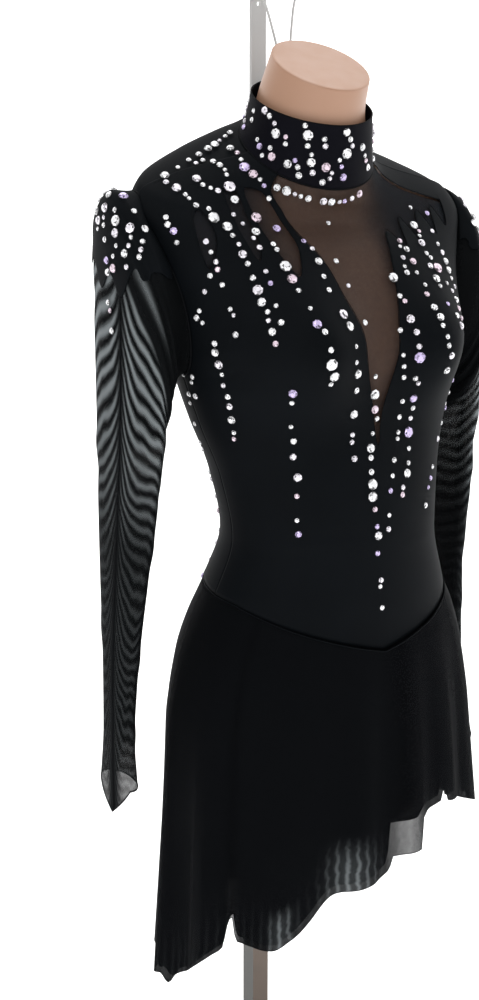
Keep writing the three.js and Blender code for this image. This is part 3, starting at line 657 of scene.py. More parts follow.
def skirt_bands(n):
    """Painted light where the two layers part near the hem: patches where light shows through,
    crossed by painted highlight streaks, and faint painted highlight streaks; and a thinner
    look where the outer layer hangs alone."""
    turn, down = n.cloth_place()
    bend = n.noise(22.0, 2.0, "UV") * 7.0
    lines = n.math("SINE", turn * 1.9 + bend)
    crest = n.map_range(lines, -1.0, 1.0, 0.0, 1.0) ** 3.0
    # Patches of painted light near the hem, crossed by the painted highlight streaks of glow.
    patches = sum(
        n.band(turn, middle, half) * n.step_up(down, top, 0.93) * peak
        for middle, half, top, peak in SKIRT_LIGHT_PATCHES
    )
    glow = n.map_range(crest, 0.0, 1.0, 0.18, 1.0)
    light = n.math("MULTIPLY", patches, glow, clamp=True)
    # Faint painted highlight streaks near the hem.
    faint = crest * n.step_up(down, 0.8, 1.0) * 0.02
    alone = n.math("MAXIMUM", n.band(turn, 276.5, 6.0), n.band(turn, 212.0, 2.0))
    return (1.0 - alone) * 0.24 - lines * 0.01, light + faint


def hard_surface(name, base, roughness, metallic, grain=0.0):
    """Paint, steel or plastic with a slightly uneven gloss."""
    n = Nodes(name)
    noise = n.noise(60.0, 3.0)
    return n.surface(n.body({
        "Base Color": colour(*base),
        "Roughness": n.spread(noise, roughness - 0.05, roughness + 0.05),
        "Metallic": metallic,
        "Normal": n.relief(noise, grain, 0.0003),
    }))


def post_surface():
    """Worn grey paint with painted light and shade: the sides painted as cool grey shade, the face
    turned to the front painted warmer and lighter as lit.
    """
    n = Nodes("grey_steel")
    wear = n.spread(n.noise(40.0, 3.0), -0.12, 0.12)
    ahead = n.axis(n.add("ShaderNodeNewGeometry").outputs["Normal"], 1) * -1.0
    # Painted light: faces turned to the front take the lit colour, varied by the wear noise.
    lit_front_and_wear = n.math("ADD", n.step_up(ahead, 0.4, 0.8), wear, clamp=True)
    shade = n.blend(lit_front_and_wear, (0.105, 0.105, 0.098), (0.21, 0.165, 0.135))
    return n.surface(n.body({"Base Color": shade, "Roughness": 0.55, "Metallic": 0.1}))


def crystal_surface():
    """Foiled stones: each facet takes its painted reflection, a dark, middle or bright shade, from
    the mesh, and the stones glow a little with it as painted light.
    """
    n = Nodes("crystal")
    facet = n.add("ShaderNodeVertexColor", layer_name="facet").outputs["Color"]
    return n.surface(n.body({
        "Base Color": facet,
        "Roughness": 0.12,
        "Metallic": 0.25,
        "Specular IOR Level": 0.6,
        # Painted light: the stones glow a little with their painted facet reflections.
        "Emission Color": facet,
        "Emission Strength": 0.12,
    }))


# The colour of the painted light on the mesh, and the turn at which the sleeve's long seam runs
PAINTED_LIGHT_SHADE = (0.26, 0.285, 0.295)
SLEEVE_SEAM_TURN = 104.0
# Patches of painted light on the skirt, where light shows through the two layers: angle, half width,
# where they begin and how strong they are
SKIRT_LIGHT_PATCHES = [(255.0, 6.5, 0.76, 0.62), (231.0, 3.4, 0.86, 0.5)]

CLOTH = knit_cloth("black_cloth", (0.0024, 0.0033, 0.0044), 0.65)
COLLAR_CLOTH = knit_cloth("collar_cloth", (0.0032, 0.0032, 0.0056), 0.65)
YOKE_MESH = mesh_cloth("yoke_mesh", (0.011, 0.013, 0.016), 0.385, yoke_side_shade)
SLEEVE_MESH = mesh_cloth("sleeve_mesh", (0.004, 0.0045, 0.005), 0.66, sleeve_bands)
SKIRT_MESH = mesh_cloth("skirt_mesh", (0.0030, 0.0034, 0.0042), 0.64, skirt_bands)
LINING_MESH = mesh_cloth("lining_mesh", (0.0030, 0.0031, 0.0036), 0.88)
THREAD = knit_cloth("black_thread", (0.0034, 0.0038, 0.0046), 0.7, 1500.0)
FORM = hard_surface("form_paint", (0.40, 0.225, 0.145), 0.42, 0.0, 0.02)
STEEL = hard_surface("bright_steel", (0.50, 0.49, 0.48), 0.38, 0.55, 0.03)
POST = post_surface()
DARK = hard_surface("dark_paint", (0.02, 0.02, 0.022), 0.45, 0.0, 0.02)
BUTTON = hard_surface("button_black", (0.012, 0.012, 0.013), 0.2, 0.0)
CRYSTAL = crystal_surface()


# Dress form


def build_form():
    """The painted dress form, from the foot to the neck cap."""
    levels = np.concatenate([np.linspace(-293, 300, 100), np.linspace(302, 445, 90)])
    angles = np.arange(0, 360, 2.5)
    inset = mix(FORM_INSET, NECK_INSET, smooth(levels, 345, 384))
    rows = [skin(angles, level, -depth) for level, depth in zip(levels, inset)]
    count = len(angles)
    # A small round at the neck cap's rim and at the foot
    top = rows[-1]
    middle_top = top.mean(0)
    foot = rows[0]
    middle_foot = foot.mean(0)
    for share, rise in ((0.02, 0.45), (0.06, 0.6), (0.5, 0.6)):
        rows.append(mix(top, middle_top, share) + (0, 0, rise))
    for share, drop in ((0.012, 0.5), (0.04, 0.6)):
        rows.insert(0, mix(foot, middle_foot, share) - (0, 0, drop))
    ends = [middle_foot, middle_top + (0, 0, 0.6)]
    points = np.concatenate([np.array(rows).reshape(-1, 3), ends])
    faces = ring_faces(len(rows), count)
    low = len(rows) * count
    for j in range(count):
        k = (j + 1) % count
        faces.append((low, k, j))
        faces.append((low + 1, low - count + j, low - count + k))
    form = new_piece("form", points, faces, FORM)
    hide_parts("dress_form")


# Bodice


# The waist seam: its level, how much higher it runs at the back, the drop of its point at
# the front and the point's half width in degrees
SEAM_LEVEL = -57
SEAM_TILT = 8
SEAM_POINT_DROP = 36
SEAM_POINT_SPREAD = 75


def seam_level(angle):
    """The waist seam, which dips to a point at the front."""
    turn = np.mod(angle, 360)
    point = np.maximum(0, 1 - np.abs(turn - 270) / SEAM_POINT_SPREAD)
    return SEAM_LEVEL + SEAM_TILT * np.sin(np.radians(angle)) - SEAM_POINT_DROP * point**1.3


def armhole_spread(level, half_angle):
    """How many degrees the armhole takes from the cloth at a level."""
    height = (np.asarray(level, float) - ARMHOLE_MIDDLE) / ARMHOLE_HALF_HEIGHT
    return half_angle * np.sqrt(np.maximum(0, 1 - height * height))


def across_front(u, level):
    """The angle at a share of the way from the front's middle to its left or right edge."""
    return 270 + u * (90 - armhole_spread(level, ARMHOLE_FRONT_ANGLE) - BODICE_GAP)


def across_back(u, level):
    """The same for the back."""
    return 90 - u * (90 - armhole_spread(level, ARMHOLE_BACK_ANGLE) - BODICE_GAP)


# Soft creases of the bodice: angle, level, half width, half height, lean, and how far out
BODICE_CREASES = [
    (205, 188, 9, 7, 0.30, 1.0),
    (208, 168, 11, 6, 0.22, -0.9),
    (212, 150, 12, 7, 0.18, 0.9),
    (335, 182, 9, 7, -0.30, 1.0),
    (332, 162, 11, 6, -0.22, -0.9),
    (226, 4, 14, 5, 0.10, 0.8),
    (300, -2, 14, 5, -0.12, 0.8),
    (250, 16, 16, 5, 0.05, -0.7),
    (60, 8, 14, 5, 0.10, 0.8),
    (110, -6, 16, 5, -0.08, 0.8),
    (140, 172, 11, 7, 0.25, 0.9),
    (38, 168, 11, 7, -0.25, 0.9),
]


def creases(angle, level):
    """How far the bodice's cloth stands out at a place because of its creases."""
    out = np.zeros(np.broadcast(angle, level).shape)
    for middle, height, wide, tall, lean, depth in BODICE_CREASES:
        off = turned(angle, middle)
        rise = level - height - lean * off * 2.0
        out = out + depth * np.exp(-((off / wide) ** 2) - (rise / tall) ** 2)
    return out


def front_grid():
    """Angles and levels over the whole front, from the waist seam to the neck."""
    u = np.linspace(-1, 1, 205)[None, :]
    low = np.linspace(0, 1, 58, endpoint=False)[:, None]
    level_low = mix(seam_level(across_front(u, 0)), UNDERARM, low)
    steps = np.concatenate([
        ARMHOLE_MIDDLE + ARMHOLE_HALF_HEIGHT * np.sin(np.radians(np.linspace(-90, 90, 92))),
        np.linspace(324, NECK_LEVEL, 30),
    ])
    level_high = np.broadcast_to(steps[:, None], (len(steps), u.size))
    level = np.concatenate([level_low, level_high])
    angle = across_front(u, level)
    return angle, level


def window_outlines():
    """Closed outlines of the mesh windows, smoothed, for both sides: x, z."""
    ring = smooth_line(KEYHOLE, 6).tolist() + smooth_line(OPEN_LEFT, 6).tolist()
    outlines = [np.array([(0.0, 94.0)] + ring)]
    for table in (WINDOW_NEAR, WINDOW_MIDDLE, WINDOW_FAR):
        outlines.append(smooth_line(table, 6, closed=True))
    return outlines


def face_outward(mesh):
    """Turns every face of a closed mesh to look outward."""
    made = bmesh.new()
    made.from_mesh(mesh)
    bmesh.ops.recalc_face_normals(made, faces=made.faces)
    made.to_mesh(mesh)
    made.free()


def prism(outline, near=-240, far=20):
    """A closed prism along Y from an outline in x and z, at first through the front."""
    count = len(outline)
    points = [(x, near, WAIST_HEIGHT + z) for x, z in outline]
    points += [(x, far, WAIST_HEIGHT + z) for x, z in outline]
    faces = [tuple(range(count))[::-1], tuple(range(count, 2 * count))]
    faces += ring_faces(2, count)
    mesh = bpy.data.meshes.new("prism")
    mesh.from_pydata([tuple(c / 1000 for c in p) for p in points], [], faces)
    face_outward(mesh)
    return add_object("prism", mesh)


def cut(piece, cutters, operation):
    """Cuts the piece with each prism and drops the prisms."""
    for cutter in cutters:
        step = piece.modifiers.new("cut", "BOOLEAN")
        step.operation = operation
        step.object = cutter
        step.solver = "MANIFOLD"
    graph = bpy.context.evaluated_depsgraph_get()
    finished = bpy.data.meshes.new_from_object(piece.evaluated_get(graph))
    piece.modifiers.clear()
    piece.data = finished
    for cutter in cutters:
        bpy.data.objects.remove(cutter)


def front_at(outline, out):
    """Points of an outline in x and z laid on the front, a little out from the torso."""
    x = np.array([p[0] for p in outline], float)
    z = np.array([p[1] for p in outline], float)
    level = z
    for _ in range(40):
        section = torso_at(level)
        angle = 360 - np.degrees(np.arccos(np.clip(x / section["half"], -0.999, 0.999)))
        point = torso_point(angle, level)
        level = level + (WAIST_HEIGHT + z - point[:, 2]) * 0.8
    return skin(angle, level, out)


def build_bodice():
    """The opaque front with its windows, their edges, and the mesh yoke behind them."""
    angle, level = front_grid()
    lift = creases(angle, level)
    front = cloth_wall(
        "front_bodice_cloth", lambda out: skin(angle, level, OPAQUE_LAYER + out + lift),
        CLOTH_THICK, CLOTH,
    )
    outlines = window_outlines()
    cut(front, [prism(outline) for outline in outlines], "DIFFERENCE")
    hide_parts("front_bodice")
    for k, outline in enumerate(outlines):
        line = front_at(outline, OPAQUE_LAYER + 0.2)
        tube_along(f"window_edge_{k + 1}", line, 0.32, closed=True)
    yoke = cloth_wall(
        "front_yoke_mesh", lambda out: skin(angle, level, MESH_LAYER + out),
        MESH_THICK, YOKE_MESH,
    )
    left = [(-x, z) for x, z in reversed(YOKE_EDGE[1:])]
    kept = left + YOKE_EDGE + [(200, 460), (-200, 460)]
    cut(yoke, [prism(kept)], "INTERSECT")
    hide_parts("front_yoke")


def back_line(u):
    """The line where the back bodice ends and the back yoke begins."""
    top = ARMHOLE_MIDDLE + ARMHOLE_HALF_HEIGHT * math.sin(math.radians(45))
    return mix(262, top, u * u)


def build_back():
    """The opaque back and the two halves of its yoke, with the slit between them."""
    u = np.linspace(-1, 1, 181)[None, :]
    low = mix(seam_level(across_back(u, 0)), UNDERARM, np.linspace(0, 1, 60, endpoint=False)[:, None])
    high = mix(UNDERARM, back_line(u), np.linspace(0, 1, 50)[:, None])
    level = np.concatenate([low, high])
    angle = across_back(u, level)
    lift = creases(angle, level)
    back = cloth_wall(
        "back_bodice_cloth", lambda out: skin(angle, level, OPAQUE_LAYER + out + lift),
        CLOTH_THICK, CLOTH,
    )
    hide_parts("back_bodice")
    hem = skin(angle[-1], level[-1], OPAQUE_LAYER + lift[-1])
    tube_along("back_edge", hem, EDGE_RADIUS)
    for side, name in ((-1, "right"), (1, "left")):
        u_half = np.linspace(side * 0.003, side, 81)[None, :]
        level = mix(back_line(u_half) - 5, NECK_LEVEL, np.linspace(0, 1, 70)[:, None])
        angle = across_back(u_half, level)
        yoke = cloth_wall(
            f"back_yoke_cloth_{name}", lambda out: skin(angle, level, MESH_LAYER + out),
            MESH_THICK, CLOTH,
        )
        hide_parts(f"back_yoke_{name}")
        edge = skin(angle[:, 0], level[:, 0], MESH_LAYER + 0.5)
        tube_along(f"back_slit_{name}", edge, EDGE_RADIUS)


def collar_surface(angle, level):
    """The middle of the collar's cloth."""
    return skin(angle, level, collar_at(level)["out"])


def build_collar():
    """The stand collar, open by a hair at the centre back."""
    angle = np.linspace(90.3, 449.7, 181)[None, :]
    level = np.linspace(COLLAR[0][0], COLLAR[-1][0], 40)[:, None]
    away = collar_at(level)["out"]
    collar = cloth_wall(
        "collar_band", lambda out: skin(angle, level, away + out),
        COLLAR_THICK, COLLAR_CLOTH,
    )
    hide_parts("collar")
    top = skin(angle[-1], level[-1], away[-1])
    tube_along("collar_edge", top, 0.75, sides=8)
    seam = skin(angle[0], level[0] - 0.4, away[0] - 0.2)
    tube_along("collar_seam", seam, SEAM_RADIUS, sides=8)


# Sleeves


def armhole_point(turn, side, layer):
    """The sleeve's first row, which lies just inside the armhole."""
    back = np.cos(np.radians(turn))
    half_angle = np.where(back > 0, ARMHOLE_BACK_ANGLE, ARMHOLE_FRONT_ANGLE)
    spread = (half_angle - SLEEVE_GAP) * back
    level = ARMHOLE_MIDDLE + (ARMHOLE_HALF_HEIGHT - 0.7) * np.sin(np.radians(turn))
    angle = 180 - spread if side < 0 else spread
    return skin(angle, level, layer)


# Creases of the sleeves: along, turn, half length, half width in degrees, twist, and out
SLEEVE_CREASES = [
    (0.115, 150, 0.022, 70, 0.0003, 2.4),
    (0.150, 165, 0.018, 60, 0.0005, -2.2),
    (0.180, 170, 0.020, 60, 0.0006, 2.2),
    (0.215, 178, 0.022, 50, 0.0008, -1.8),
    (0.270, 195, 0.026, 46, 0.0011, 1.8),
    (0.360, 215, 0.030, 42, 0.0012, -1.4),
    (0.440, 150, 0.020, 60, -0.0006, 1.4),
    (0.500, 175, 0.020, 60, 0.0006, -1.5),
    (0.540, 160, 0.020, 55, -0.0005, 1.5),
    (0.610, 185, 0.024, 50, 0.0008, 1.2),
    (0.700, 160, 0.022, 50, -0.0008, -1.2),
    (0.790, 175, 0.020, 60, 0.0006, 1.3),
    (0.860, 165, 0.018, 60, -0.0005, -1.2),
    (0.905, 180, 0.016, 60, 0.0005, 1.4),
    (0.130, 20, 0.024, 60, -0.0004, 1.8),
    (0.240, 10, 0.026, 50, 0.0008, -1.5),
    (0.480, 5, 0.022, 60, 0.0006, 1.3),
    (0.560, 350, 0.022, 60, -0.0006, -1.3),
    (0.760, 10, 0.020, 60, 0.0006, 1.2),
]


def sleeve_surface(table, side):
    """Gives the sleeve's point for a turn round it and a place along it. A turn of 90 is
    the outer side, 180 the front, 270 the side at the body and 0 the back."""
    section_at = curve_through(table, SLEEVE_COLUMNS)

    def surface(turn, along):
        turn, along = np.broadcast_arrays(np.asarray(turn, float), np.asarray(along, float))
        up = np.sin(np.radians(turn))
        back = np.cos(np.radians(turn))
        s = section_at(along)
        off = turned(turn, CUFF_POINT_ANGLE)
        point = np.maximum(0, 1 - np.abs(off) / CUFF_POINT_SPREAD)
        dip = CUFF_POINT_REACH * point * smooth(along, 0.86, 1)
        x = mix(s["inX"], s["outX"], (1 + up) / 2)
        z = mix(s["inZ"], s["outZ"], (1 + up) / 2) + s["raise"] * s["half"] * back - dip
        hung = np.stack([side * x, s["middle"] + s["half"] * back, WAIST_HEIGHT + z], -1)
        leave = smooth(along, 0, 0.06)[..., None]
        return mix(armhole_point(turn, side, OPAQUE_LAYER), hung, leave)

    return surface


def sleeve_creases(turn, along, side):
    """How far the sleeve's cloth stands out because of its creases."""
    out = np.zeros(np.broadcast(turn, along).shape)
    shift = 0 if side < 0 else 0.018
    for place, middle, tall, wide, twist, depth in SLEEVE_CREASES:
        off = turned(turn, middle)
        rise = along - place - shift - twist * off
        out = out + depth * np.exp(-((off / wide) ** 2) - (rise / tall) ** 2)
    return out * smooth(along, 0.05, 0.11) * (1 - smooth(along, 0.93, 0.99))


def sleeve_skin(table, side, turn, along, out):
    """The sleeve's point with its creases, moved out along its normal."""
    surface = sleeve_surface(table, side)
    safe = np.clip(along, 0.01, 0.995)
    normal = normal_of(surface, turn, safe, 0.5, 0.004) * side
    lift = sleeve_creases(turn, along, side) + out
    return surface(turn, along) + normal * lift[..., None]


def build_sleeve(table, side, name):
    """One mesh sleeve with its cuff edge, its long seam and the seam at the armhole."""
    turn = np.arange(0, 360, 2.5)[None, :]
    along = np.concatenate([np.linspace(0, 0.12, 36, endpoint=False), np.linspace(0.12, 1, 164)])
    along = along[:, None]
    piece = cloth_wall(
        f"sleeve_mesh_{name}", lambda out: sleeve_skin(table, side, turn, along, out),
        MESH_THICK, SLEEVE_MESH, around=True,
    )
    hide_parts(f"sleeve_{name}")
    cuff = sleeve_skin(table, side, np.arange(0, 360, 3.0), 0.998, 0.1)
    tube_along(f"cuff_edge_{name}", cuff, EDGE_RADIUS, closed=True)
    seam_along = np.linspace(0.27, 0.995, 160)
    seam = sleeve_skin(table, side, SLEEVE_SEAM_TURN, seam_along, 0.3)
    tube_along(f"sleeve_seam_{name}", seam, 0.5)
    ring = armhole_point(np.arange(0, 360, 3.0), side, OPAQUE_LAYER + 0.5)
    tube_along(f"armhole_seam_{name}", ring, SEAM_RADIUS, closed=True)


# How far out the opaque caps lie from the sleeve's mesh; the left one is cut shorter
CAP_LAYER = 1.4


def build_cap(table, side, name):
    """The opaque cap on the sleeve head, cut along its flame edge."""
    turn = np.linspace(-22.5, 202.5, 150)[None, :]
    along = np.linspace(0.02, 0.42, 150)[:, None]
    cap = cloth_wall(
        f"shoulder_cap_cloth_{name}",
        lambda out: sleeve_skin(table, side, turn, along, CAP_LAYER + out),
        CLOTH_THICK, CLOTH,
    )
    outline = smooth_line(CAP_EDGE, 8).tolist() + [(140, 420), (-40, 420)]
    cutter = prism(outline, 0, 200)
    for vertex in cutter.data.vertices:
        y, depth, z = vertex.co
        vertex.co = (side * (0.1 + depth), y, z)
    face_outward(cutter.data)
    cut(cap, [cutter], "INTERSECT")
    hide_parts(f"shoulder_cap_{name}")


# Skirt and briefs

# The skirt follows the torso down to this level and hangs straight below it
HANG_LEVEL = -190.0


def skirt_surface(layer):
    """Gives the layer's point for an angle and a share of the way from waist to hem."""
    def surface(angle, share):
        angle, share = np.broadcast_arrays(np.asarray(angle, float), np.asarray(share, float))
        row = hem_at(angle)
        hem = -row["drop"] + (row["underlap"] if layer == "inner" else 0)
        level = mix(seam_level(angle) - 0.6, hem, share)
        fall = np.maximum(0, (-60 - level) / 360)
        held = np.maximum(level, HANG_LEVEL)
        away = smooth(share, 0, 0.10)
        if layer == "inner":
            lift = mix(1.4, OPAQUE_LAYER, away)
        else:
            lift = mix(2.5, OPAQUE_LAYER + 1.8, away) + 3 * fall
        point = skin(angle, held, lift)
        folds = sum(out * bump(angle, middle, width) for middle, width, out in FOLDS)
        waves = sum(out * bump(angle, middle, width) for middle, width, out in RIPPLES)
        out = row["flare"] * fall**0.85 + folds * fall**1.3 + waves * fall**1.1
        return point + np.stack(
            [out * np.cos(np.radians(angle)), out * np.sin(np.radians(angle)), level - held], -1
        )

    return surface


def build_skirt(layer):
    """One mesh layer of the skirt with the thread along its hem."""
    surface = skirt_surface(layer)
    angle = np.arange(0, 360, 1.0)[None, :]
    share = np.linspace(0, 1, 64)[:, None]
    normal = -normal_of(surface, angle, np.clip(share, 0.01, 0.99), 0.5, 0.01)
    middle = surface(angle, share)
    piece = cloth_wall(
        f"skirt_mesh_{layer}", lambda out: middle + normal * out, MESH_THICK,
        SKIRT_MESH if layer == "outer" else LINING_MESH, around=True,
    )
    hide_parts(f"skirt_{layer}")
    hem = surface(np.arange(0, 360, 1.0), 0.999)
    tube_along(f"skirt_hem_{layer}", hem, 0.4, closed=True)
    if layer == "outer":
        seam = surface(np.arange(0, 360, 2.0), 0.002)
        tube_along("waist_seam", seam, 0.7, closed=True, cloth=CLOTH)


def build_briefs():
    """Briefs with high-cut legs, from the form's foot to just over the waist seam."""
    angle = np.arange(0, 360, 2.0)[None, :]
    side_share = smooth(np.abs(np.cos(np.radians(angle))), 0.22, 0.95)
    leg = mix(TORSO[0][0] + 0.5, -212.0, side_share)
    level = mix(leg, seam_level(angle) + 6, np.linspace(0, 1, 50)[:, None])
    piece = cloth_wall(
        "briefs_cloth", lambda out: skin(angle, level, MESH_LAYER + out),
        CLOTH_THICK, CLOTH, around=True,
    )
    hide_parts("briefs")


# Stones
# The least space between two stones, and the tints that they come in
STONE_GAP = 0.5
STONE_SHADES = [(0.95, 0.95, 0.97), (0.90, 0.86, 0.93), (0.86, 0.70, 0.80), (0.66, 0.55, 0.86)]


class StoneBed:
    """Collects faceted flat-back stones into one mesh."""

    def __init__(self, seed):
        self.random = random.Random(seed)
        self.points = []
        self.faces = []
        self.painted_facet_shades = []
        self.spots = []

    def is_free(self, place, diameter):
        """Whether a stone of this size stays clear of those already set."""
        return all(
            math.dist(place, spot) > (diameter + size) / 2 + STONE_GAP for spot, size in self.spots
        )

    def add(self, place, normal, diameter):
        """Sets one stone of three rings of facets with a flat table on top, each facet with a painted
        reflection or painted shade.
        """
        self.spots.append((tuple(place), diameter))
        place = Vector(place)
        normal = Vector(normal).normalized()
        across = normal.orthogonal().normalized()
        other = normal.cross(across)
        turn = self.random.uniform(0, math.tau)
        radius = diameter / 2
        rise = diameter * 0.30
        tint = self.random.choices(STONE_SHADES, (60, 22, 10, 8))[0]
        rings = [(1.0, 0.0, 0), (0.97, 0.25, 0), (0.74, 0.70, 0.5), (0.46, 1.0, 0)]
        sides = 8
        first = len(self.points)
        for reach, height, offset in rings:
            for k in range(sides):
                a = turn + math.tau * (k + offset) / sides
                spot = across * math.cos(a) + other * math.sin(a)
                self.points.append(place + spot * radius * reach + normal * rise * height)
        for index, quad in enumerate(ring_faces(len(rings), sides)):
            a, b, c, d = (first + corner for corner in quad)
            if index < sides:
                # Painted shade: the steep side facets take a dark shade of the stone's tint.
                shade = 0.10 + 0.25 * self.random.random()
                self.faces.append((a, b, c, d))
                self.painted_facet_shades.append(tuple(shade * t for t in tint))
                continue
            # The crown facets take painted reflections, dark, middle or bright.
            for facet in ((a, b, d), (b, c, d)):
                self.faces.append(facet)
                self.painted_facet_shades.append(self.painted_facet_reflection(tint))
        # The table takes a painted bright reflection.
        self.faces.append(tuple(first + 3 * sides + k for k in range(sides)))
        self.painted_facet_shades.append(tuple(0.9 * t for t in tint))
        self.faces.append(tuple(first + k for k in reversed(range(sides))))
        self.painted_facet_shades.append((0.05, 0.05, 0.05))

    def painted_facet_reflection(self, tint):
        """A painted reflection for a facet: a dark, a middle or a bright shade of the stone's tint.
        """
        pick = self.random.random()
        if pick < 0.20:
            return tuple(0.10 * t for t in tint)
        if pick < 0.42:
            return tuple(0.45 * t for t in tint)
        return tuple(0.98 * t for t in tint)

    def build(self, name):
        points = np.array([tuple(p) for p in self.points])
        piece = new_piece(name, points, self.faces, CRYSTAL, smooth_shaded=False)
        layer = piece.data.color_attributes.new(name="facet", type="FLOAT_COLOR", domain="CORNER")
        corners = [(*shade, 1.0) for face, shade in zip(self.faces, self.painted_facet_shades) for _ in face]
        layer.data.foreach_set("color", np.array(corners, dtype=np.float32).ravel())


# Diameters that the stones of a drip take in turn
LARGE = (4.4, 6.6, 4.0, 8.4, 4.6, 3.8, 7.2)
MIDDLE = (4.0, 5.8, 3.8, 4.8, 6.6)
SMALL = (3.8, 4.6, 3.6, 4.2)
# What all of those diameters are multiplied by
STONE_SCALE = 1.34

# Drips on the bodice: how many stones, their sizes, and the angles and levels passed through
BODICE_DRIPS = [
    (14, LARGE, [(216, 336), (230, 312), (230, 288), (228, 246), (227, 196)]),
    (9, MIDDLE, [(230, 172), (231, 109), (226, 39), (224, 5)]),
    (17, LARGE, [(205, 347), (225, 339), (243, 304), (242, 252), (243, 194), (245, 159)]),
    (14, LARGE, [(229, 350), (255, 300), (254, 250), (255, 210), (258, 150)]),
    (4, MIDDLE, [(258, 134), (257, 85)]),
    (4, SMALL, [(268, 341), (261, 265), (263, 235), (266, 198)]),
    (14, LARGE, [(268, 171), (269, 122), (266, 90), (264, 55), (265, 24), (267, -9)]),
    (3, SMALL, [(268, -24), (269, -62)]),
    (6, SMALL, [(219, 288), (217, 240), (214, 197)]),
    (12, MIDDLE, [(202, 227), (205, 190), (205, 150), (203, 98)]),
    (15, SMALL, [(180, 183), (181, 148), (170, 95), (157, 35), (153, -10), (151, -62)]),
    (5, MIDDLE, [(203, 317), (206, 300), (204, 284)]),
    (9, MIDDLE, [(181, 334), (178, 339), (172, 344), (166, 349), (158, 353), (150, 358)]),
    (7, LARGE, [(184, 334), (192, 335), (202, 334), (209, 332), (216, 329)]),
    (7, MIDDLE, [(174, 342), (178, 345), (176, 348), (190, 350), (201, 348)]),
    (8, LARGE, [(164, 354), (180, 358), (195, 355), (209, 355), (230, 350)]),
    (4, MIDDLE, [(190, 342), (200, 341), (212, 342)]),
    (6, MIDDLE, [(203, 319), (207, 309), (208, 301), (204, 287)]),
    (5, SMALL, [(218, 299), (218, 273), (208, 246), (200, 216)]),
    (6, SMALL, [(238, 312), (236, 277), (232, 241), (230, 215)]),
    (3, SMALL, [(188, 166), (184, 136)]),
    (4, SMALL, [(289, 297), (287, 275), (286, 255)]),
    (6, MIDDLE, [(300, 272), (300, 233), (305, 205)]),
    (13, LARGE, [(301, 320), (300, 283), (303, 262), (311, 233), (308, 212)]),
    (7, MIDDLE, [(308, 303), (312, 264), (317, 236)]),
    (13, MIDDLE, [(290, 298), (292, 253), (293, 213), (296, 190), (298, 167)]),
    (20, LARGE, [(281, 260), (283, 216), (284, 180), (287, 135), (287, 81), (281, 39)]),
    (13, SMALL, [(277, 214), (280, 160), (281, 107), (275, 61), (272, 11)]),
    (9, SMALL, [(327, 150), (324, 117), (316, 84), (306, 48), (300, 17)]),
    (2, SMALL, [(312, 342), (312, 322)]),
    (13, MIDDLE, [(212, 352), (226, 356), (250, 356), (273, 357), (296, 362)]),
    (6, SMALL, [(338, 210), (340, 160), (334, 110)]),
    (6, SMALL, [(352, 180), (0, 140), (12, 90)]),
]
# Drips on the collar: how many stones, sizes, and the angles and levels passed through
COLLAR_DRIPS = [
    (8, SMALL, [(148, 407), (150, 395), (150, 382), (160, 372)]),
    (3, SMALL, [(172, 402), (168, 388)]),
    (8, LARGE, [(184, 406), (194, 403), (204, 394), (200, 383), (202, 372)]),
    (5, MIDDLE, [(180, 380), (190, 372), (197, 368)]),
    (3, SMALL, [(212, 386), (216, 396)]),
    (4, MIDDLE, [(218, 372), (224, 378), (229, 368)]),
    (7, LARGE, [(228, 406), (233, 392), (236, 383), (240, 371)]),
    (3, SMALL, [(246, 398), (250, 390)]),
    (4, MIDDLE, [(250, 380), (257, 373), (251, 368)]),
    (8, LARGE, [(268, 404), (276, 397), (274, 389), (263, 383), (268, 370)]),
    (6, MIDDLE, [(287, 392), (298, 380), (304, 371)]),
    (6, MIDDLE, [(322, 402), (326, 385), (324, 369)]),
    (6, MIDDLE, [(346, 404), (351, 386), (356, 369)]),
    (6, MIDDLE, [(12, 404), (16, 386), (20, 369)]),
    (5, MIDDLE, [(38, 402), (40, 384), (44, 369)]),
    (5, MIDDLE, [(126, 404), (128, 386), (130, 369)]),
]
# Drips on the shoulder caps: how many, sizes, and the turns and places along the sleeve
CAP_DRIPS = [
    (8, MIDDLE, [(74, 0.05), (78, 0.13), (82, 0.19), (88, 0.25)]),
    (8, LARGE, [(92, 0.045), (94, 0.11), (98, 0.16), (94, 0.23)]),
    (7, LARGE, [(106, 0.045), (110, 0.085), (116, 0.13), (114, 0.20)]),
    (6, MIDDLE, [(122, 0.045), (126, 0.09), (128, 0.15)]),
    (5, MIDDLE, [(56, 0.05), (60, 0.11), (66, 0.18)]),
    (4, MIDDLE, [(38, 0.05), (44, 0.11)]),
    (3, SMALL, [(86, 0.27), (92, 0.33)]),
]


def along_line(points, share):
    """The place at a share of the way along a line of points."""
    lengths = [math.dist(a, b) for a, b in zip(points, points[1:])]
    goal = share * sum(lengths)
    for (a, b), length in zip(zip(points, points[1:]), lengths):
        if goal <= length:
            return [mix(p, q, goal / length) for p, q in zip(a, b)]
        goal -= length
    return points[-1]


def lay_drips(bed, drips, surface, outward, lift, scale, jitter):
    """Sets the stones of each drip on a surface, a little unevenly. scale makes the two
    directions of the line comparable, and jitter is the sideways play."""
    for count, sizes, line in drips:
        path = [line[0]]
        for u, v in line[1:]:
            last = path[-1][0]
            path.append((u + 360 * round((last - u) / 360), v))
        scaled = [(u, v * scale) for u, v in path]
        for k in range(count):
            size = STONE_SCALE * sizes[(k * 3 + count) % len(sizes)] * bed.random.uniform(0.88, 1.08)
            for _ in range(10):
                share = (k + bed.random.uniform(0.1, 0.9)) / count
                u, v = along_line(scaled, share)
                u = np.array([u + bed.random.uniform(-jitter, jitter)])
                v = np.array([v / scale])
                normal = normal_of(surface, u, v, 0.5, 0.9 / scale)[0] * outward
                place = surface(u, v)[0] + normal * lift
                if bed.is_free(place, size):
                    bed.add(place, normal, size)
                    break


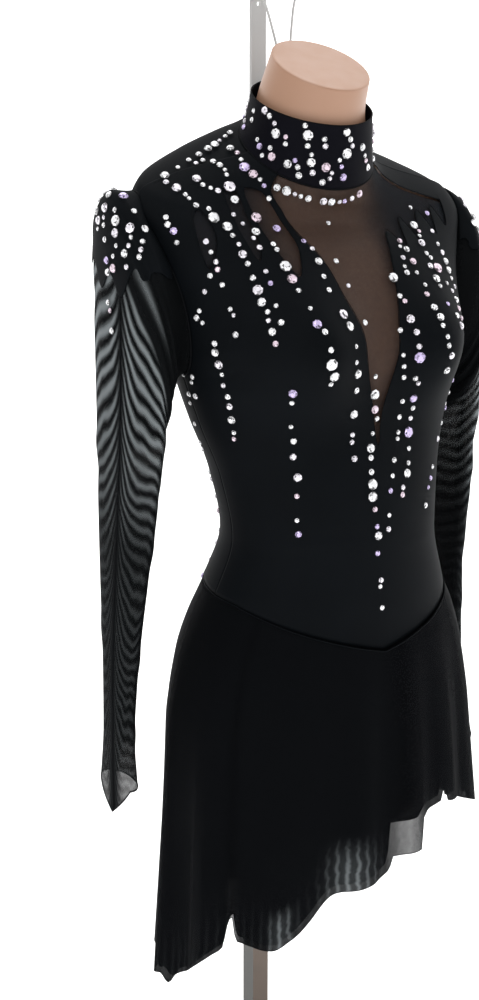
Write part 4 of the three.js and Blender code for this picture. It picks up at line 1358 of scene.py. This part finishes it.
def bodice_skin(angle, level):
    """The middle of the bodice's cloth, with its creases."""
    return skin(angle, level, OPAQUE_LAYER + creases(angle, level))


def build_stones():
    """The stones of the bodice, the collar and the two caps."""
    bed = StoneBed(21)
    lay_drips(bed, BODICE_DRIPS, bodice_skin, 1, CLOTH_THICK / 2 + 0.1, 1.0, 0.8)
    bed.build("bodice_stones")
    bed = StoneBed(22)
    lay_drips(bed, COLLAR_DRIPS, collar_surface, 1, 0.6, 1.0, 2.0)
    bed.build("collar_stones")
    for table, side, name in SLEEVES:
        bed = StoneBed(23 + side)

        def cap_skin(turn, along, table=table, side=side):
            return sleeve_skin(table, side, turn, along, CAP_LAYER)

        lay_drips(bed, CAP_DRIPS, cap_skin, side, 0.4, 400.0, 3.0)
        bed.build(f"cap_stones_{name}")


build_form()
build_bodice()
build_back()
build_collar()
for table, side, name in SLEEVES:
    build_sleeve(table, side, name)
    build_cap(table, side, name)
build_skirt("outer")
build_skirt("inner")
build_briefs()
build_stones()


# Stand and trims from the frame


def dress_node(name, material):
    """A hard CAD piece keeps its shape and takes its finish."""
    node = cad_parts[name]
    node.data.materials.clear()
    node.data.materials.append(material)


for name in ("post_bar", "hang_arm", "neck_eye", "hang_wire"):
    dress_node(name, STEEL)
dress_node("post_tube", POST)
for name in ("base_plate", "post_clamp", "arm_stop"):
    dress_node(name, DARK)
for k in (1, 2, 3):
    dress_node(f"collar_button_{k}", BUTTON)
dress_node("gusset", CLOTH)


# Floor, backdrop, light and camera


def stage_surface(name, base, glow):
    """Plain glowing paint on the front; from behind the sheet can be seen through."""
    n = Nodes(name)
    body = n.body({
        "Base Color": colour(*base),
        "Roughness": n.spread(n.noise(2.0, 2.0), 0.85, 0.95),
        "Emission Color": colour(1, 1, 1),
        "Emission Strength": glow,
    })
    behind = Value(n, n.add("ShaderNodeNewGeometry").outputs["Backfacing"])
    return n.see_through(1.0 - behind, body)


def plain_sheet(name, corners, material):
    """A flat sheet with four corners, in metres."""
    mesh = bpy.data.meshes.new(name)
    mesh.from_pydata(corners, [], [(0, 1, 2, 3)])
    mesh.materials.append(material)
    return add_object(name, mesh)


def area_light(name, place, target, size, power, tint=(1, 1, 1)):
    """A soft light, width and height in metres, that looks at its target."""
    data = bpy.data.lights.new(name, "AREA")
    data.shape = "RECTANGLE"
    data.size, data.size_y = size
    data.energy = power
    data.color = tint
    light = add_object(name, data)
    light.location = place
    light.rotation_euler = (Vector(target) - Vector(place)).to_track_quat("-Z", "Y").to_euler()
    return light


def build_stage():
    """A white floor and wall and three soft lights."""
    white = stage_surface("studio_white", (0.9, 0.9, 0.9), 0.6)
    floor = plain_sheet("floor", [(-9, -9, 0), (9, -9, 0), (9, 9, 0), (-9, 9, 0)], white)
    wall_a = Vector((4.6, -1.0, 0.0))
    wall_b = Vector((-3.0, 5.6, 0.0))
    up = Vector((0, 0, 5))
    wall = plain_sheet(
        "backdrop", [tuple(wall_b), tuple(wall_a), tuple(wall_a + up), tuple(wall_b + up)], white
    )
    lights = [
        area_light("key", (-2.6, -2.2, 2.8), (0, 0, 0.9), (1.8, 1.8), 46),
        area_light("window", (2.4, -1.4, 2.0), (0, 0, 0.8), (1.6, 2.2), 22, (0.97, 0.98, 1)),
        area_light("top", (0.2, 0.6, 3.0), (0, 0, 0.9), (2.2, 2.2), 26),
    ]


def build_world():
    """An even white light from all round."""
    world = bpy.data.worlds.new("studio")
    bpy.context.scene.world = world
    world.use_nodes = True
    background = world.node_tree.nodes["Background"]
    background.inputs["Color"].default_value = (1, 1, 1, 1)
    background.inputs["Strength"].default_value = 0.5


CAMERA_PLACE = (-1.1118, -1.5303, 1.2217)
CAMERA_TURN = 33.415
CAMERA_TILT = 75
CAMERA_LENS = 70.56


def build_camera():
    """The photograph's camera, which looks down a little from the wearer's right."""
    data = bpy.data.cameras.new("camera")
    data.lens = CAMERA_LENS
    data.sensor_width = 36
    data.sensor_fit = "AUTO"
    camera = add_object("camera", data)
    camera.location = CAMERA_PLACE
    camera.rotation_euler = Euler((math.radians(CAMERA_TILT), 0, -math.radians(CAMERA_TURN)), "XYZ")
    bpy.context.scene.camera = camera


build_stage()
build_world()
build_camera()
bpy.context.scene.view_settings.view_transform = "Standard"
